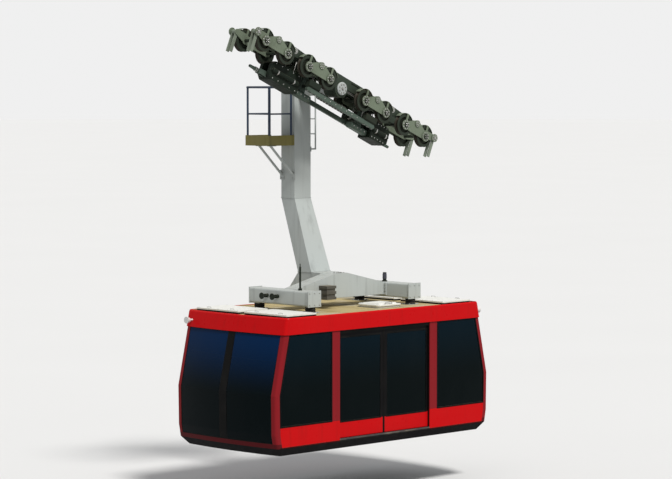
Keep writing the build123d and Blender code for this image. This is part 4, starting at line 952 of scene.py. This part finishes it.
def door_fittings():
    """Pane gaskets, meeting rubbers and inner handles, on every leaf."""
    faces, ends = (("near", -1), ("far", 1)), (("uphill", -1), ("downhill", 1))
    for face_name, side in faces:
        for end_name, end in ends:
            tag = f"{face_name}_{end_name}"
            seals, handle = Piece(), Piece()
            low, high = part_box(f"door_pane_{tag}")
            y = side * max(abs(low[1]), abs(high[1]))
            loop = [(low[0], y, low[2]), (high[0], y, low[2]), (high[0], y, high[2]), (low[0], y, high[2])]
            seals.rim(loop, (0, side, 0), 0.016, 0.010, -0.001, 0.0055)
            low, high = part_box(f"door_leaf_{tag}")
            meeting = high[0] if end < 0 else low[0]
            back = side * (LEAF_Y - 0.03)
            seals.box((meeting, back, low[2] + 0.002),
                      (meeting + end * 0.022, side * (LEAF_Y + 0.0015), high[2] - 0.030))
            seals.box((low[0] + 0.004, back, low[2] - 0.005),
                      (high[0] - 0.004, side * (LEAF_Y - 0.01), low[2] + 0.004))
            x, y = meeting + end * 0.036, side * (LEAF_Y - 0.040)
            handle.grip((x, y, GRIP_LOW), (x, y, GRIP_HIGH), (0, -side * 0.045, 0), 0.010, 0.02, 10)
            seals.done(f"door_seals_{tag}", "black_trim", f"door_{tag}")
            handle.done(f"door_handle_{tag}", "pole_steel", f"door_{tag}")


def cabin_inside():
    """Door drives' covers, ceiling lamps, rails at the ends, and the desk's controls."""
    covers, lamps, rails, controls = Piece(), Piece(), Piece(), Piece()
    for side in SIDES:
        y = side * 0.78
        covers.box((PIN.x - 1.22, side * 1.06, CEILING_Z - 0.20), (PIN.x + 1.22, side * 1.178, CEILING_Z))
        lamps.box((PIN.x - 2.1, y - 0.05, CEILING_Z - 0.018), (PIN.x + 2.1, y + 0.05, CEILING_Z))
    end_x = half_length(1.2) - 0.16
    for end, side in CORNERS:
        # The end's rail: out from the end, and across to the side
        route = [(end_x + 0.05, 0.12), (end_x - 0.04, 0.12), (end_x - 0.04, 1.05), (end_x + 0.02, LINING_Y)]
        rails.tube(bent([(PIN.x + end * x, side * y, RAIL_Z) for x, y in route], 0.04), 0.017)
        feet = [(PIN.x + end * x, side * LINING_Y, RAIL_Z) for x in (1.42, 2.40)]
        rails.grip(*feet, (0, -side * 0.05, 0), 0.017, 0.04, 10)
    low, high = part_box("operator_desk")
    for y in row(low[1] + 0.08, low[1] + 0.335, 4):
        for step in (0, 0.05):
            knob = (low[0] + 0.07 + step, y, high[2] - 0.12 + step)
            controls.disc(knob, (-0.7, 0, 1), 0.014, 0.014, 12, 0.003)
    x, y, z = low[0] + 0.19, high[1] - 0.06, high[2] + 0.06
    controls.tube([(x + 0.02, y, z - 0.08), (x, y, z)], 0.008)
    controls.disc((x, y, z - 0.005), UP, 0.020, 0.030, 16, 0.008)
    covers.done("door_drive_covers", "lining", CABIN)
    lamps.done("ceiling_lamps", "lens_clear", CABIN)
    rails.done("end_rails", "pole_steel", CABIN)
    controls.done("desk_controls", "lens_red", CABIN)


def lamp_lenses():
    """Glass in the corner lamps, the beacon's dome, and the underside's screws."""
    clear, dome, screws = Piece(), Piece(), Piece()
    glass_profile = [(0.052, -0.002), (0.052, 0.003), (0.030, 0.0055), (0.004, 0.006)]
    dome_profile = [(0.041, 0), (0.041, 0.08), (0.036, 0.105), (0.022, 0.119), (0.004, 0.1198)]
    low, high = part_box("corner_lamps")
    for x, y, end in ((high[0], low[1] + 0.062, 1), (low[0], high[1] - 0.062, -1)):
        clear.lathe((x - end * 0.006, y, ROOF_Z - 0.175), (end, 0, 0), glass_profile)
    dome.lathe((PIN.x + SPRING_X, 0, BEAM_TOP_Z + 0.05), UP, dome_profile)
    for side in SIDES:
        for x in row(PIN.x - 2.1, PIN.x + 2.1, 7):
            screws.bolt((x, side * 1.0, BELLY_Z + 0.04), DOWN, 0.018)
        for x in row(PIN.x - 1.03, PIN.x - 0.37, 4):
            screws.bolt((x, side * 0.28, BELLY_Z + 0.03), DOWN, 0.016)
    clear.done("lamp_glass", "lens_clear", CABIN)
    dome.done("beacon_dome", "lens_dark", CABIN)
    screws.done("belly_screws", "machined_steel", CABIN)


def studio():
    """A pale floor that hides nothing from below."""
    surface = Surface("floor_paint", roughness=0.9, gloss=0.1)
    tone = surface.mix(surface.noise(0.15, 2.0), *FLOOR_SEEN)
    surface.finish(surface.mix(surface.seen(), FLOOR_BOUNCE, tone))
    clear = surface.node("ShaderNodeBsdfTransparent").outputs[0]
    under = surface.node("ShaderNodeNewGeometry").outputs["Backfacing"]
    surface.feed(surface.tree.nodes["Material Output"].inputs["Surface"],
                 surface.either(under, surface.shader.outputs[0], clear))
    floor = Piece()
    floor.faces(circle((0, 0, BELLY_Z - FLOOR_DROP), UP, FLOOR_R, 64), [range(64)])
    made = floor.as_object("floor", "floor_paint")


def light():
    """An even sky and a soft sun, and a backdrop that is seen and lights nothing."""
    world = bpy.data.worlds.new("studio")
    bpy.context.scene.world = world
    world.use_nodes = True
    world.node_tree.nodes.clear()
    sky = Nodes(world.node_tree)
    soft = sky.node("ShaderNodeBackground", {0: SKY, 1: AMBIENT}).outputs[0]
    backdrop = sky.node("ShaderNodeBackground", {0: (1.0, 1.0, 1.0), 1: BACKGROUND}).outputs[0]
    sky.node("ShaderNodeOutputWorld", {0: sky.either(sky.seen(), soft, backdrop)})
    sun = bpy.data.lights.new("sun", "SUN")
    sun.energy = SUN_STRENGTH
    sun.angle = SUN_SPREAD
    sun.color = SUN_COLOUR
    lamp = bpy.data.objects.new("sun", sun)
    lamp.rotation_euler = SUN_FROM.to_track_quat("Z", "Y").to_euler()
    bpy.context.scene.collection.objects.link(lamp)


def camera():
    """The camera, at the photograph's angle."""
    lens_data = bpy.data.cameras.new("camera")
    lens_data.sensor_width = SENSOR
    lens_data.lens = SENSOR * PHOTO_F * ZOOM / PHOTO_W
    lens_data.clip_end = 1000
    eye = bpy.data.objects.new("camera", lens_data)
    eye.location = CAMERA_AT
    eye.rotation_euler = (AIM - CAMERA_AT).to_track_quat("-Z", "Y").to_euler()
    bpy.context.scene.collection.objects.link(eye)
    bpy.context.scene.camera = eye
    bpy.context.scene.view_settings.view_transform = "Standard"


make_looks()
camera()
light()
studio()
dress_nodes()
wheel_finish()
carriage_bolts()
carriage_pipes()
carriage_fittings()
hanger_fittings()
roof_finish()
cabin_seals()
door_fittings()
cabin_inside()
lamp_lenses()
